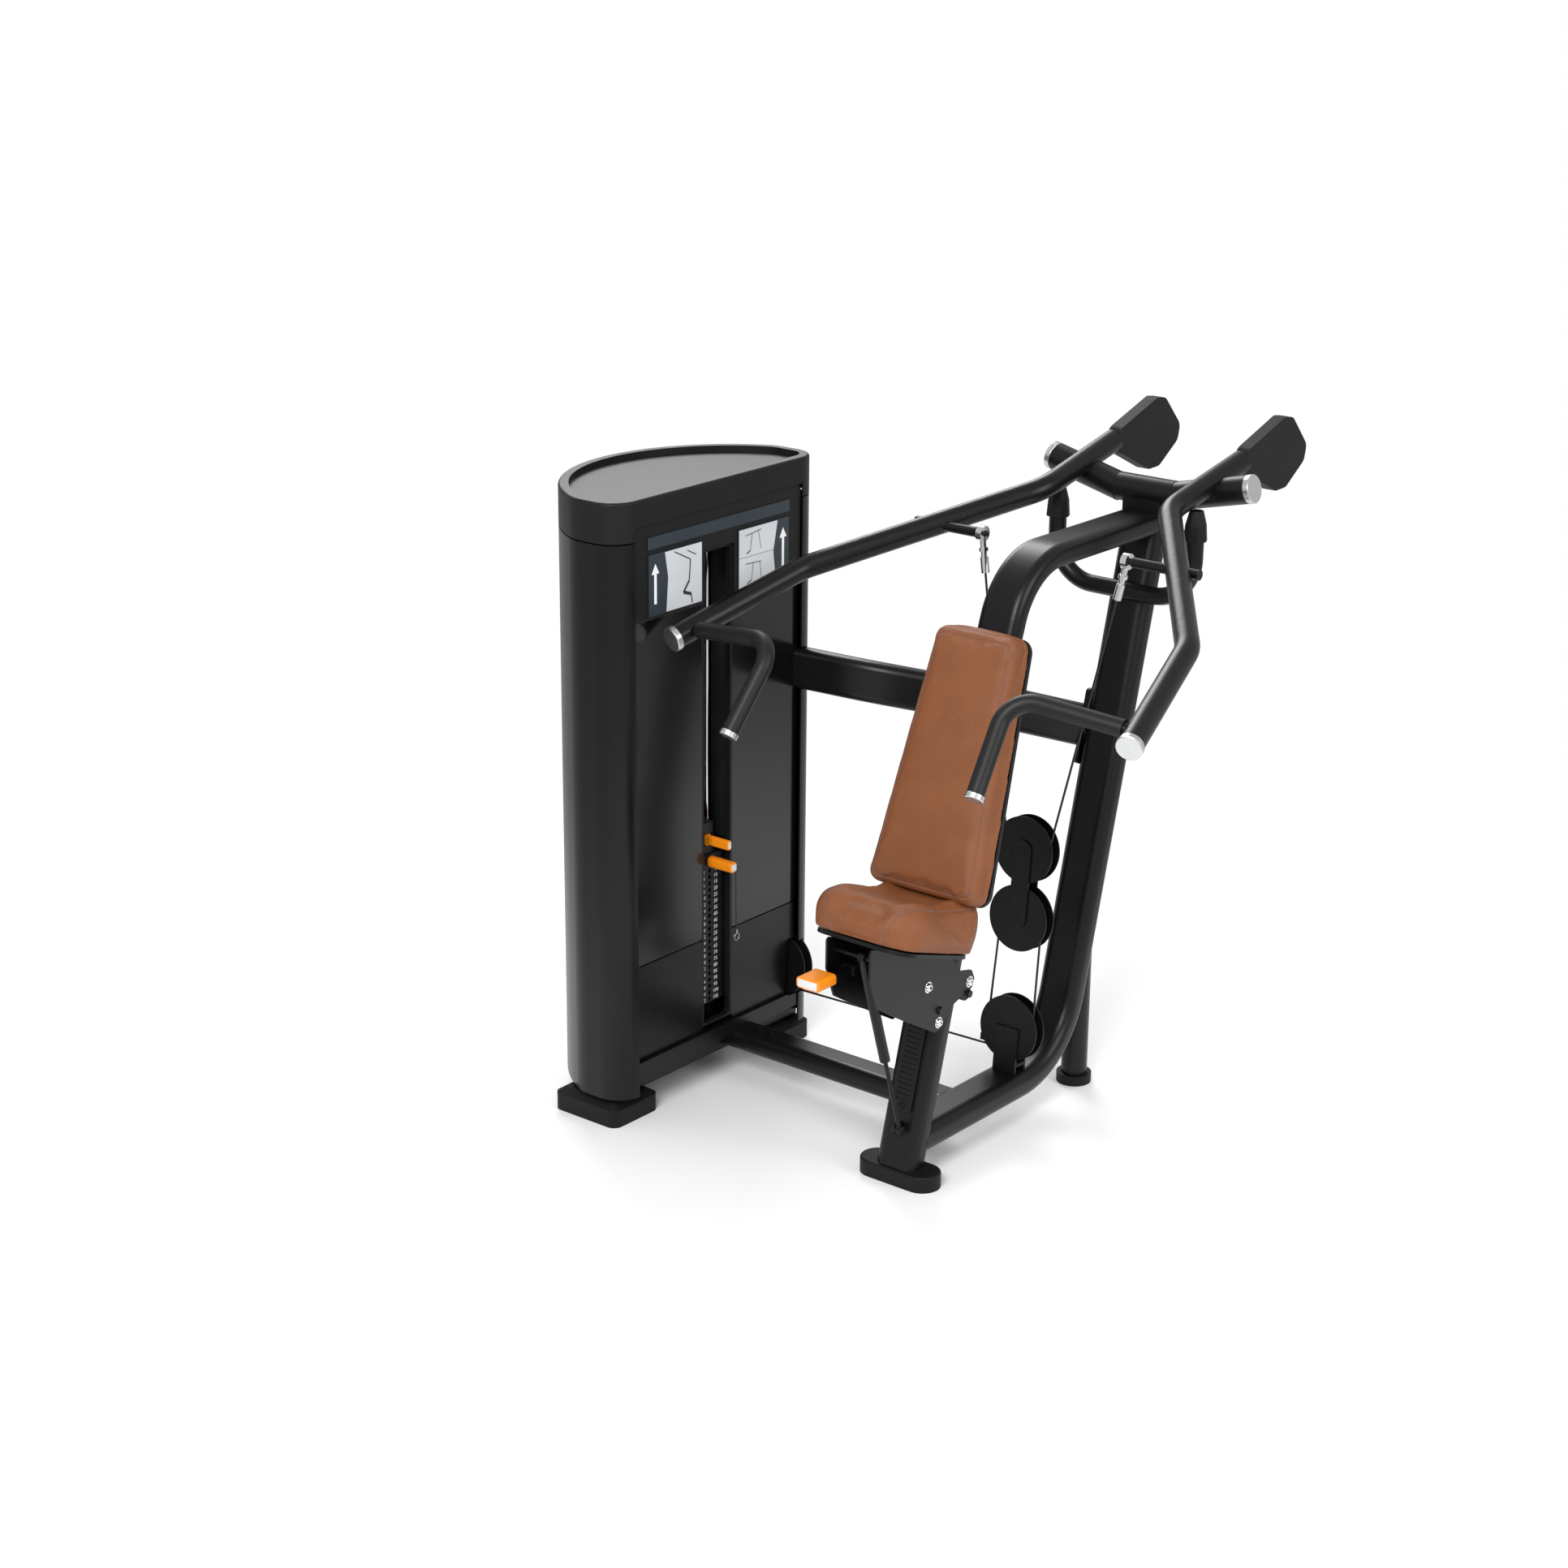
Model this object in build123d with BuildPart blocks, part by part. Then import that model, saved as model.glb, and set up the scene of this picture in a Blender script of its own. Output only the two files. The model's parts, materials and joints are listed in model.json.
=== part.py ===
"""Selectorised shoulder press machine: weight tower, welded frame, two converging press arms,
cable drive with a floating pulley block, and a seat that travels on a leaning post.

Millimetres, +Z up. The origin is on the floor under the middle of the seat post's foot.
X = 0 is the plane of symmetry of the seat and arms, the user faces -Y and the tower is at -X."""
import math
import os

from build123d import *

os.makedirs("parts", exist_ok=True)

# ---- driving dimensions -------------------------------------------------------------------
MAIN_W, MAIN_T, MAIN_WALL = 100, 60, 4        # flat-oval tube of the main frame
OVAL = 0.42                                   # corner radius of a flat-oval tube, share of its thickness
BEAM_Z = 86                                   # height of the lower beam's centre line
UPRIGHT_Y0, UPRIGHT_LEAN = 526, 14.3          # upright's centre line: y at the floor, lean in degrees
UPRIGHT_TOP_Z = 1288
FRAME_BEND = 200                              # bend from the lower beam into the upright
POST_Y0, POST_LEAN, POST_TOP_Z = -9, 15.5, 548
BASE_W, BASE_T, BASE_Y = 80, 50, 212          # flat-oval beam that joins the tower
LEG_D, LEG_Y, LEG_TOP_Z = 58, 648, 430
FOOT_L, FOOT_W, FOOT_H = 192, 80, 35          # rubber foot of the seat post
FOOT_SOLE = 8                                 # rubber under the end of a tube
LEG_FOOT_D, LEG_FOOT_H = 78, 22

NECK_Z, NECK_BEND = 1255, 165                 # gooseneck that carries the back pad
NECK_T, NECK_CORNER_Y, NECK_END_Z = 50, 352, 760
PAD_LEAN = 19.3                               # back pad's lean, degrees
PAD_LENGTH, PAD_TOP_W, PAD_BOTTOM_W, PAD_T = 558, 214, 290, 52
PAD_FOOT_Y, PAD_FOOT_Z = 65, 609              # middle of the back pad's lower end
SHELL_T = 10
SEAT_W, SEAT_REAR_W, SEAT_L, SEAT_T, SEAT_TILT = 268, 244, 283, 78, 18.5
SEAT_Y, SEAT_Z = -46.5, 536.5                 # middle of the seat pan's underside
PAN_T = 8

TOWER_X, TOWER_Y = -597, 128                  # inner face, and the tower's own plane of symmetry
TOWER_HALF, TOWER_R, TOWER_DEPTH = 333, 363, 335
TOWER_CORNER, TOWER_BACK_ROUND = 60, 85
TOWER_TOP, CAP_H, SHROUD_BOTTOM = 1380, 86, 60
SHROUD_WALL, SEAM = 4, 3
PANEL_RECESS, PANEL_T = 13, 4
PANEL_SEAM_Z, PLACARD_BOTTOM, PLACARD_TOP = 353, 1118, 1322
SILL_Z, SILL_H = 100, 35
SLOT_W, SLOT_BOTTOM, SLOT_TOP, SLOT_DEPTH = 88, 152, 1226, 15
TOWER_FOOT_L, TOWER_FOOT_W, TOWER_FOOT_H, TOWER_FOOT_X = 147, 182, 52, -702

STACK_X, STACK_FRONT = -688, -631             # stack's centre and front face
PLATE_W, PLATE_PITCH, PLATE_GAP = 224, 15.2, 0.6
PLATE_COUNT, PLATE_Z0 = 21, 193                # centre of the lowest plate
ROD_SPREAD, ROD_D = 57, 20                    # chrome guide rods
SELECTOR_D, PIN_D, RUNNING = 22, 9, 0.5

CABLE_LEAN, CABLE_Y0, CABLE_D = 5, 377.5, 5   # plane that holds every outside cable run
SHEAVE_R, SHEAVE_W = 52, 18                   # radius to the cable's centre line, wheel's width
GUARD_R, GUARD_T, GUARD_GAP = 73, 3, 12
AXLE_D = 12
GROOVE_GAP = 0.5                              # between a cable and the bottom of its groove
LOW_SHEAVE_B, BLOCK_LOW_B, BLOCK_TOP_B = 212, 462, 614   # heights in the cable plane
ANCHOR = (-64, 176)                           # fixed end of the cable, in the cable plane
TOWER_SHEAVE_A, TOWER_SHEAVE_B = STACK_X + SHEAVE_R, 196

ARM_D, ARM_WALL, ARM_BEND = 50, 3.5, 110
ARM_POINTS = [(557, -65, 1084), (477, 252, 1183), (157, 680, 1329), (163, 954, 1388)]
BAR_D, GRIP_D, GRIP_BEND = 25, 36, 60
BAR_POINTS = [(548, -28, 1096), (286, -72, 1127), (301, -196, 964)]
HUB_START, HUB_END, HUB_D, SPINDLE_D = (84, 847, 1320.5), (243, 854, 1357), 62, 36
PIN_Y, PIN_Z, PIN_INNER, PIN_OUTER, CABLE_PIN_D = 488, 1262, 196, 354, 22
EYE_X, EYE_R, EYE_W = 181, 17, 14
BALL_R, EYE_PIN_D = 9, 10                     # ball joint between an arm and its rod end
WEIGHT_T = 34
STOP_D, STOP_BEND, STOP_X, STOP_Z, STOP_TOP = 38, 95, 174, 1115, 1252

PLATE_X, CARRIAGE_T, ROLLER_R = 57, 5, 17      # seat carriage's side plates
GAS_D, GAS_ROD_D = 22, 9
CLEAR = 0.4                                    # gap between pieces that don't touch

# ---- shared geometry ----------------------------------------------------------------------
upright_slope = math.tan(math.radians(UPRIGHT_LEAN))
post_slope = math.tan(math.radians(POST_LEAN))
neck_slope = math.tan(math.radians(PAD_LEAN))
cable_plane = Plane(origin=(0, CABLE_Y0, 0), x_dir=(1, 0, 0),
                    z_dir=(0, -math.cos(math.radians(CABLE_LEAN)), math.sin(math.radians(CABLE_LEAN))))
post_axis = Vector(0, math.sin(math.radians(POST_LEAN)), math.cos(math.radians(POST_LEAN)))
post_plane = Plane(origin=(0, POST_Y0, 0), x_dir=(1, 0, 0), z_dir=post_axis)
top_sheave_z = 1296
rear_sheave_y = CABLE_Y0 + TOWER_SHEAVE_B * math.tan(math.radians(CABLE_LEAN)) - SHEAVE_R
front_sheave_y = TOWER_Y + SHEAVE_R
window_half = TOWER_HALF - TOWER_CORNER
stack_bottom = PLATE_Z0 - PLATE_PITCH / 2
stack_top = PLATE_Z0 + (PLATE_COUNT - 0.5) * PLATE_PITCH
face_x = TOWER_X - PANEL_RECESS


def upright_y(z):
    """Y of the upright's centre line at a height."""
    return UPRIGHT_Y0 + z * upright_slope


def post_y(z):
    """Y of the seat post's centre line at a height."""
    return POST_Y0 + z * post_slope


def run(points, bend, width, thick, side=(1, 0, 0)):
    """Solid flat-oval or round bar along a bent path."""
    with BuildPart() as bar:
        with BuildLine() as path:
            if len(points) > 2:
                FilletPolyline(*points, radius=bend)
            else:
                Line(*points)
        line = path.wires()[0]
        with BuildSketch(Plane(origin=line @ 0, x_dir=side, z_dir=line % 0)):
            if width > thick:
                RectangleRounded(width, thick, OVAL * thick)
            else:
                Circle(thick / 2)
        sweep(path=line)
    return bar.part


def hollow(points, bend, width, thick, wall, side=(1, 0, 0)):
    """Bent tube whose ends are closed by a wall."""
    first, second = Vector(*points[0]), Vector(*points[1])
    last, before = Vector(*points[-1]), Vector(*points[-2])
    short = [first + (second - first).normalized() * wall, *points[1:-1],
             last + (before - last).normalized() * wall]
    with BuildPart() as tube:
        add(run(points, bend, width, thick, side))
        add(run(short, bend, width - 2 * wall, thick - 2 * wall, side), mode=Mode.SUBTRACT)
    return tube.part


def box(low, high):
    """Plain block between two corners, for cuts and straps."""
    with BuildPart() as block:
        with Locations([((low[0] + high[0]) / 2, (low[1] + high[1]) / 2, (low[2] + high[2]) / 2)]):
            Box(high[0] - low[0], high[1] - low[1], high[2] - low[2])
    return block.part


def rod(start, end, diameter):
    """Round bar between two points."""
    a, b = Vector(*start), Vector(*end)
    with BuildPart() as bar:
        with BuildSketch(Plane(origin=a, z_dir=b - a)):
            Circle(diameter / 2)
        extrude(amount=(b - a).length)
    return bar.part


def mirrored(part):
    """The same piece on the other side of the plane X = 0."""
    return part.mirror(Plane.YZ)


def write(part, name):
    """Label a finished piece and write its STEP file."""
    part.label = name
    export_step(part, f"parts/{name}.step")


def disc_bar(a, b, radius, half):
    """Solid disc in the cable plane, centred on it."""
    with BuildPart() as disc:
        with BuildSketch(cable_plane.offset(-half)):
            with Locations([(a, b)]):
                Circle(radius)
        extrude(amount=2 * half)
    return disc.part


def guards(a, b, axle_to=GUARD_GAP + GUARD_T + 5):
    """Pair of round guards with the axle bolt that holds them."""
    with BuildPart() as pair:
        for side in (-1, 1):
            with BuildSketch(cable_plane.offset(side * GUARD_GAP)):
                with Locations([(a, b)]):
                    Circle(GUARD_R)
            extrude(amount=side * GUARD_T)
        with BuildSketch(cable_plane.offset(-axle_to)):
            with Locations([(a, b)]):
                Circle(AXLE_D / 2)
        extrude(amount=2 * axle_to)
    return pair.part


guard_space = disc_bar(TOWER_SHEAVE_A, TOWER_SHEAVE_B, GUARD_R + 1.5, GUARD_GAP + GUARD_T + 7)

# ---- main frame ---------------------------------------------------------------------------
main_points = [
    (0, post_y(BEAM_Z), BEAM_Z),
    (0, upright_y(BEAM_Z), BEAM_Z),
    (0, upright_y(UPRIGHT_TOP_Z), UPRIGHT_TOP_Z),
]
main_outer = run(main_points, FRAME_BEND, MAIN_W, MAIN_T)
post_points = [(0, post_y(-60), -60), (0, post_y(POST_TOP_Z), POST_TOP_Z)]
with BuildPart() as post_envelope:
    add(run(post_points, 0, MAIN_W, MAIN_T))
    split(bisect_by=Plane.XY.offset(FOOT_SOLE), keep=Keep.TOP)
with BuildPart() as post_bore:
    add(run(post_points, 0, MAIN_W - 2 * MAIN_WALL, MAIN_T - 2 * MAIN_WALL))
    split(bisect_by=Plane.XY.offset(FOOT_SOLE + MAIN_WALL), keep=Keep.TOP)
    post_end = POST_TOP_Z / math.cos(math.radians(POST_LEAN)) - MAIN_WALL
    split(bisect_by=post_plane.offset(post_end), keep=Keep.BOTTOM)
with BuildPart() as seat_post:
    add(post_envelope.part)
    add(post_bore.part, mode=Mode.SUBTRACT)
write(seat_post.part, "seat_post")

neck_points = [(0, upright_y(NECK_Z), NECK_Z), (0, NECK_CORNER_Y, NECK_Z),
               (0, NECK_CORNER_Y - (NECK_Z - NECK_END_Z) * neck_slope, NECK_END_Z)]
base_points = [(STACK_X + 40, BASE_Y, BEAM_Z), (0, BASE_Y, BEAM_Z)]
base_outer = run(base_points, 0, BASE_W, BASE_T, side=(0, 1, 0))

with BuildPart() as main_frame_tube:
    add(hollow(main_points, FRAME_BEND, MAIN_W, MAIN_T, MAIN_WALL))
    add(post_envelope.part, mode=Mode.SUBTRACT)
write(main_frame_tube.part, "main_frame_tube")

with BuildPart() as gooseneck_tube:
    add(hollow(neck_points, NECK_BEND, MAIN_W, NECK_T, MAIN_WALL))
    add(main_outer, mode=Mode.SUBTRACT)
write(gooseneck_tube.part, "gooseneck_tube")

with BuildPart() as base_beam:
    add(hollow(base_points, 0, BASE_W, BASE_T, MAIN_WALL, side=(0, 1, 0)))
    with BuildSketch(Plane.XY.offset(BEAM_Z + BASE_T / 2)):
        with Locations([(x, BASE_Y) for x in (TOWER_X + 37, TOWER_X + 72)]):
            RegularPolygon(9, 6)
    extrude(amount=7)
    add(main_outer, mode=Mode.SUBTRACT)
write(base_beam.part, "base_beam")

leg_points = [(0, LEG_Y, FOOT_SOLE), (0, LEG_Y, LEG_TOP_Z)]
leg_outer = run(leg_points, 0, LEG_D, LEG_D)
with BuildPart() as rear_leg:
    add(hollow(leg_points, 0, LEG_D, LEG_D, MAIN_WALL))
    add(main_outer, mode=Mode.SUBTRACT)
write(rear_leg.part.solids().sort_by(Axis.Z)[0], "rear_leg")

# tube from the tower to the upright, gently bent, on a plate bolted to the upright's side
LINK_H, LINK_T, LINK_BEND = 94, 46, 260
MOUNT_X = TOWER_X - 43
LINK_Y, LINK_Z, FLANGE_Z, FLANGE_T = 406, 904, 803, 9
link_points = [(MOUNT_X, LINK_Y, LINK_Z), (-440, 430, 900), (-250, 565, 862),
               (-MAIN_W / 2 - FLANGE_T, upright_y(FLANGE_Z), FLANGE_Z)]
link_outer = run(link_points, LINK_BEND, LINK_H, LINK_T, side=(0, 0, 1))
link_space = run(link_points, LINK_BEND, LINK_H + 3, LINK_T + 3, side=(0, 0, 1))
flange_origin = (-MAIN_W / 2, upright_y(FLANGE_Z), FLANGE_Z)
flange_plane = Plane(origin=flange_origin, x_dir=(0, upright_slope, 1), z_dir=(-1, 0, 0))
with BuildPart() as connecting_tube:
    add(hollow(link_points, LINK_BEND, LINK_H, LINK_T, 3, side=(0, 0, 1)))
    with BuildSketch(flange_plane):
        RectangleRounded(168, 52, 10)
    extrude(amount=FLANGE_T)
    with BuildSketch(flange_plane.offset(FLANGE_T)):
        with Locations([(-66, 0), (66, 0)]):
            RegularPolygon(9, 6)
    extrude(amount=8)
    add(box((MOUNT_X, LINK_Y - 26, LINK_Z - 62), (MOUNT_X + 8, 448, LINK_Z + 62)))
    split(bisect_by=Plane.YZ.offset(MOUNT_X), keep=Keep.TOP)
    add(main_outer, mode=Mode.SUBTRACT)
write(connecting_tube.part, "connecting_tube")

# U-shaped bar that carries the arm stops
stop_y = upright_y(STOP_Z) - MAIN_T / 2 / math.cos(math.radians(UPRIGHT_LEAN)) - STOP_D / 2 + 2
stop_points = [
    (-STOP_X, stop_y, STOP_TOP),
    (-STOP_X, stop_y, STOP_Z),
    (STOP_X, stop_y, STOP_Z),
    (STOP_X, stop_y, STOP_TOP),
]
with BuildPart() as stop_bar:
    add(hollow(stop_points, STOP_BEND, STOP_D, STOP_D, 3, side=(0, 1, 0)))
    add(main_outer, mode=Mode.SUBTRACT)
write(stop_bar.part, "stop_bar")
with BuildPart() as stop_bumpers:
    for x in (-STOP_X, STOP_X):
        with BuildSketch(Plane.XY.offset(STOP_TOP).move(Location((x, stop_y, 0)))):
            RegularPolygon(STOP_D / 2 + 7, 8)
        extrude(amount=34, taper=4)
        with BuildSketch(Plane.XY.offset(STOP_TOP + 34).move(Location((x, stop_y, 0)))):
            RegularPolygon(STOP_D / 2 + 4.6, 8)
        extrude(amount=31, taper=14)
write(stop_bumpers.part, "stop_bumpers")

# crossbar on top of the upright, with a spindle at each end that an arm's hub turns on
hub_a, hub_b = Vector(*HUB_START), Vector(*HUB_END)
hub_axis = (hub_b - hub_a).normalized()
with BuildPart() as pivot_crossbar:
    add(rod((-70, 846, 1319), (70, 846, 1319), HUB_D))
    for sign in (1, -1):
        start = Vector(sign * (hub_a.X - 6 * hub_axis.X), hub_a.Y - 6 * hub_axis.Y, hub_a.Z - 6 * hub_axis.Z)
        axis = Vector(sign * hub_axis.X, hub_axis.Y, hub_axis.Z)
        with BuildSketch(Plane(origin=start - axis * 12, z_dir=axis)):
            Circle(HUB_D / 2)
        extrude(amount=17.5)
        with BuildSketch(Plane(origin=start, z_dir=axis)):
            Circle(SPINDLE_D / 2)
        extrude(amount=(hub_b - hub_a).length + 5)
    add(box((-46, 818, UPRIGHT_TOP_Z - 22), (46, 876, 1319)))
    add(main_outer, mode=Mode.SUBTRACT)
    add(run(neck_points, NECK_BEND, MAIN_W, NECK_T), mode=Mode.SUBTRACT)
write(pivot_crossbar.part.solids().sort_by(SortBy.VOLUME)[-1], "pivot_crossbar")

# ---- rubber feet --------------------------------------------------------------------------
foot_inner_y = TOWER_HALF - TOWER_FOOT_L / 2 + 6
with BuildPart() as frame_feet:
    with BuildSketch(Plane.XY):
        SlotOverall(FOOT_L, FOOT_W)
    extrude(amount=FOOT_H)
    fillet(frame_feet.faces().sort_by(Axis.Z)[-1].edges(), 5)
    with BuildSketch(Plane.XY.move(Location((0, LEG_Y, 0)))):
        Circle(LEG_FOOT_D / 2)
    extrude(amount=LEG_FOOT_H)
    add(post_envelope.part, mode=Mode.SUBTRACT)
    add(leg_outer, mode=Mode.SUBTRACT)
write(frame_feet.part, "frame_feet")
with BuildPart() as tower_feet:
    for side in (-1, 1):
        with BuildSketch(Plane.XY.move(Location((TOWER_FOOT_X, TOWER_Y + side * foot_inner_y, 0)))):
            Rectangle(TOWER_FOOT_W, TOWER_FOOT_L)
        extrude(amount=TOWER_FOOT_H)
    fillet(tower_feet.edges().filter_by(Axis.Z), 22)
    chamfer(tower_feet.faces().filter_by(Axis.Z).group_by(Axis.Z)[-1].edges(), 13, 20)
write(tower_feet.part, "tower_feet")

# ---- tower --------------------------------------------------------------------------------
BEAM_H, COLUMN, TOP_BEAM_Z = 50, 36, 1216
frame_bottom = TOWER_FOOT_H
column_x, column_y = STACK_X - 60, TOWER_HALF - 63
back_x, sill_front = column_x - COLUMN / 2, TOWER_X - 3
corner_y = TOWER_Y + TOWER_HALF - 14
beam_front, beam_rear = TOWER_Y - column_y - COLUMN / 2, TOWER_Y + column_y + COLUMN / 2
with BuildPart() as tower_frame:
    for low, high in ((frame_bottom, BEAM_H), (TOP_BEAM_Z, 12)):
        add(box((back_x, beam_front, low), (MOUNT_X, beam_rear, low + high)))
        add(box((MOUNT_X - 14, beam_rear, low), (MOUNT_X, corner_y, low + high)))
    for middle in (TOWER_Y - column_y, TOWER_Y + column_y):
        column_low = (back_x, middle - COLUMN / 2, frame_bottom)
        add(box(column_low, (back_x + COLUMN, middle + COLUMN / 2, TOP_BEAM_Z)))
    add(box((MOUNT_X - 14, 421, frame_bottom), (MOUNT_X, corner_y, TOP_BEAM_Z)))
    sill_low = (MOUNT_X, TOWER_Y - window_half + 2, SILL_Z)
    add(box(sill_low, (sill_front, TOWER_Y + window_half - 2, SILL_Z + SILL_H)))
    for side in (-1, 1):
        with BuildSketch(Plane(origin=(STACK_X + side * 14, TOWER_Y, 0), x_dir=(0, 1, 0), z_dir=(1, 0, 0))):
            with Locations([((rear_sheave_y + front_sheave_y) / 2 - TOWER_Y, TOP_BEAM_Z + 56)]):
                Rectangle(rear_sheave_y - front_sheave_y + 50, 98)
        extrude(amount=side * 4)
    for y in (rear_sheave_y, front_sheave_y):
        add(rod((STACK_X - 22, y, top_sheave_z), (STACK_X + 22, y, top_sheave_z), AXLE_D))
    with Locations([(STACK_X, TOWER_Y + s * ROD_SPREAD, TOP_BEAM_Z + 6) for s in (-1, 1)]):
        Cylinder(ROD_D / 2 + 0.05, 20, mode=Mode.SUBTRACT)
    with Locations([(STACK_X, TOWER_Y, TOP_BEAM_Z + 6), (STACK_X, rear_sheave_y + SHEAVE_R, TOP_BEAM_Z + 6)]):
        Box(24, 30, 20, mode=Mode.SUBTRACT)
    add(base_outer, mode=Mode.SUBTRACT)
    add(guard_space, mode=Mode.SUBTRACT)
write(tower_frame.part, "tower_frame")

with BuildPart() as guide_rods:
    for s in (-1, 1):
        rod_place = Location((STACK_X, TOWER_Y + s * ROD_SPREAD, 0))
        with BuildSketch(Plane.XY.offset(frame_bottom + BEAM_H).move(rod_place)):
            Circle(ROD_D / 2)
        extrude(amount=TOP_BEAM_Z + 12 - (frame_bottom + BEAM_H))
write(guide_rods.part, "guide_rods")


def tower_outline(inset):
    """D-shaped plan of the tower, drawn in by a margin."""
    with BuildSketch() as outline:
        with Locations([(TOWER_X - TOWER_DEPTH + TOWER_R, TOWER_Y)]):
            Circle(TOWER_R - inset)
        with Locations([(TOWER_X - 250, TOWER_Y)]):
            Rectangle(500 - 2 * inset, 2 * TOWER_HALF - 2 * inset, mode=Mode.INTERSECT)
        ends = outline.vertices().group_by(Axis.X)[-1]
        fillet(ends, TOWER_CORNER - inset)
        back = outline.vertices().filter_by(lambda v: v.X < TOWER_X - 100)
        fillet(back, TOWER_BACK_ROUND - inset)
    return outline.sketch


shroud_top = TOWER_TOP - CAP_H - SEAM
with BuildPart() as tower_shroud:
    with BuildSketch(Plane.XY.offset(SHROUD_BOTTOM)):
        add(tower_outline(0))
        add(tower_outline(SHROUD_WALL), mode=Mode.SUBTRACT)
    extrude(amount=shroud_top - SHROUD_BOTTOM)
    with Locations([(TOWER_X, TOWER_Y, 700)]):
        Box(30, 2 * window_half, 1400, mode=Mode.SUBTRACT)
    add(link_space, mode=Mode.SUBTRACT)
    add(guard_space, mode=Mode.SUBTRACT)
write(tower_shroud.part, "tower_shroud")

with BuildPart() as tower_cap:
    with BuildSketch(Plane.XY.offset(TOWER_TOP - CAP_H)):
        add(tower_outline(0))
    extrude(amount=CAP_H)
    fillet(tower_cap.faces().sort_by(Axis.Z)[-1].edges(), 6)
    with BuildSketch(Plane.XY.offset(TOWER_TOP - 14)):
        add(tower_outline(22))
    extrude(amount=20, mode=Mode.SUBTRACT)
    with BuildSketch(Plane.XY.offset(TOWER_TOP - CAP_H)):
        add(tower_outline(SHROUD_WALL))
    extrude(amount=CAP_H - 14 - 4, mode=Mode.SUBTRACT)
    with Locations([(TOWER_X, TOWER_Y, PLACARD_TOP + CLEAR - 50)]):
        Box(2 * PANEL_RECESS + 2 * PANEL_T + 6, 2 * window_half, 100, mode=Mode.SUBTRACT)
write(tower_cap.part, "tower_cap")

# panels of the inner face, either side of the weight slot
slot_half = SLOT_W / 2
rim = 6
panel_edge = window_half - CLEAR


def face_panels(z_low, z_high, gap_half, x_front, thick):
    """Two flat panels either side of the slot."""
    with BuildPart() as pair:
        for s in (-1, 1):
            with BuildSketch(Plane(origin=(x_front, TOWER_Y, 0), x_dir=(0, 1, 0), z_dir=(1, 0, 0))):
                with Locations([(s * (panel_edge + gap_half) / 2, (z_low + z_high) / 2)]):
                    RectangleRounded(panel_edge - gap_half, z_high - z_low, 5)
            extrude(amount=-thick)
        add(link_space, mode=Mode.SUBTRACT)
        add(guard_space, mode=Mode.SUBTRACT)
    return pair.part


panel_gap = slot_half + rim + CLEAR
write(face_panels(PANEL_SEAM_Z + 1.5, PLACARD_BOTTOM - 1, panel_gap, face_x, PANEL_T), "upper_panels")
write(face_panels(SILL_Z + SILL_H + 1, PANEL_SEAM_Z - 1.5, panel_gap, face_x, PANEL_T), "lower_panels")

with BuildPart() as placard_surround:
    with BuildSketch(Plane(origin=(face_x + 8, TOWER_Y, 0), x_dir=(0, 1, 0), z_dir=(1, 0, 0))):
        with Locations([(0, (PLACARD_BOTTOM + PLACARD_TOP) / 2)]):
            RectangleRounded(2 * panel_edge, PLACARD_TOP - PLACARD_BOTTOM, 14)
        with Locations([(0, (SLOT_TOP + PLACARD_BOTTOM) / 2 - 10)]):
            Rectangle(SLOT_W + 2 * rim, SLOT_TOP - PLACARD_BOTTOM + 2 * rim + 20, mode=Mode.SUBTRACT)
    extrude(amount=-12)
    chamfer(placard_surround.faces().sort_by(Axis.X)[-1].edges(), 2)

CARD_W, CARD_H, CARD_T, HEADER_H = 170, 132, 1.5, 26
card_x = face_x + 8
with BuildPart() as placard_cards:
    with BuildSketch(Plane(origin=(card_x, TOWER_Y, 0), x_dir=(0, 1, 0), z_dir=(1, 0, 0))):
        with Locations([(s * 144, 1191) for s in (-1, 1)]):
            RectangleRounded(CARD_W, CARD_H, 4)
        with Locations([(0, 1281)]):
            RectangleRounded(462, HEADER_H, 4)
    extrude(amount=CARD_T)
write(placard_cards.part, "placard_cards")

with BuildPart() as slot_frame:
    with BuildSketch(Plane(origin=(face_x, TOWER_Y, 0), x_dir=(0, 1, 0), z_dir=(1, 0, 0))):
        with Locations([(0, (SLOT_TOP + SLOT_BOTTOM) / 2)]):
            Rectangle(SLOT_W + 2 * rim, SLOT_TOP - SLOT_BOTTOM + 2 * rim)
            RectangleRounded(SLOT_W, SLOT_TOP - SLOT_BOTTOM, 8, mode=Mode.SUBTRACT)
    extrude(amount=-SLOT_DEPTH)
    add(placard_surround.part)
write(slot_frame.part, "face_trim")

# ---- weight stack -------------------------------------------------------------------------
plate_depth = 2 * (STACK_FRONT - STACK_X)


def weight_plate(z, thick):
    """One stack plate with its guide holes, selector hole and the cross hole for the pin."""
    with BuildPart() as plate:
        with Locations([(STACK_X, TOWER_Y, z)]):
            Box(plate_depth, PLATE_W, thick)
        fillet(plate.edges().filter_by(Axis.Z), 6)
        with Locations([(STACK_X, TOWER_Y + s * ROD_SPREAD, z) for s in (-1, 1)]):
            Cylinder(ROD_D / 2 + RUNNING, thick + 2, mode=Mode.SUBTRACT)
        with Locations([(STACK_X, TOWER_Y, z)]):
            Cylinder(SELECTOR_D / 2 + RUNNING, thick + 2, mode=Mode.SUBTRACT)
        with BuildSketch(Plane(origin=(STACK_FRONT, TOWER_Y, z), z_dir=(1, 0, 0))):
            Circle(PIN_D / 2 + RUNNING)
        extrude(amount=-plate_depth / 2 - 16, mode=Mode.SUBTRACT)
    return plate.part


with BuildPart() as weight_plates:
    for k in range(PLATE_COUNT):
        add(weight_plate(PLATE_Z0 + k * PLATE_PITCH, PLATE_PITCH - PLATE_GAP))
write(weight_plates.part, "weight_plates")

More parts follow.
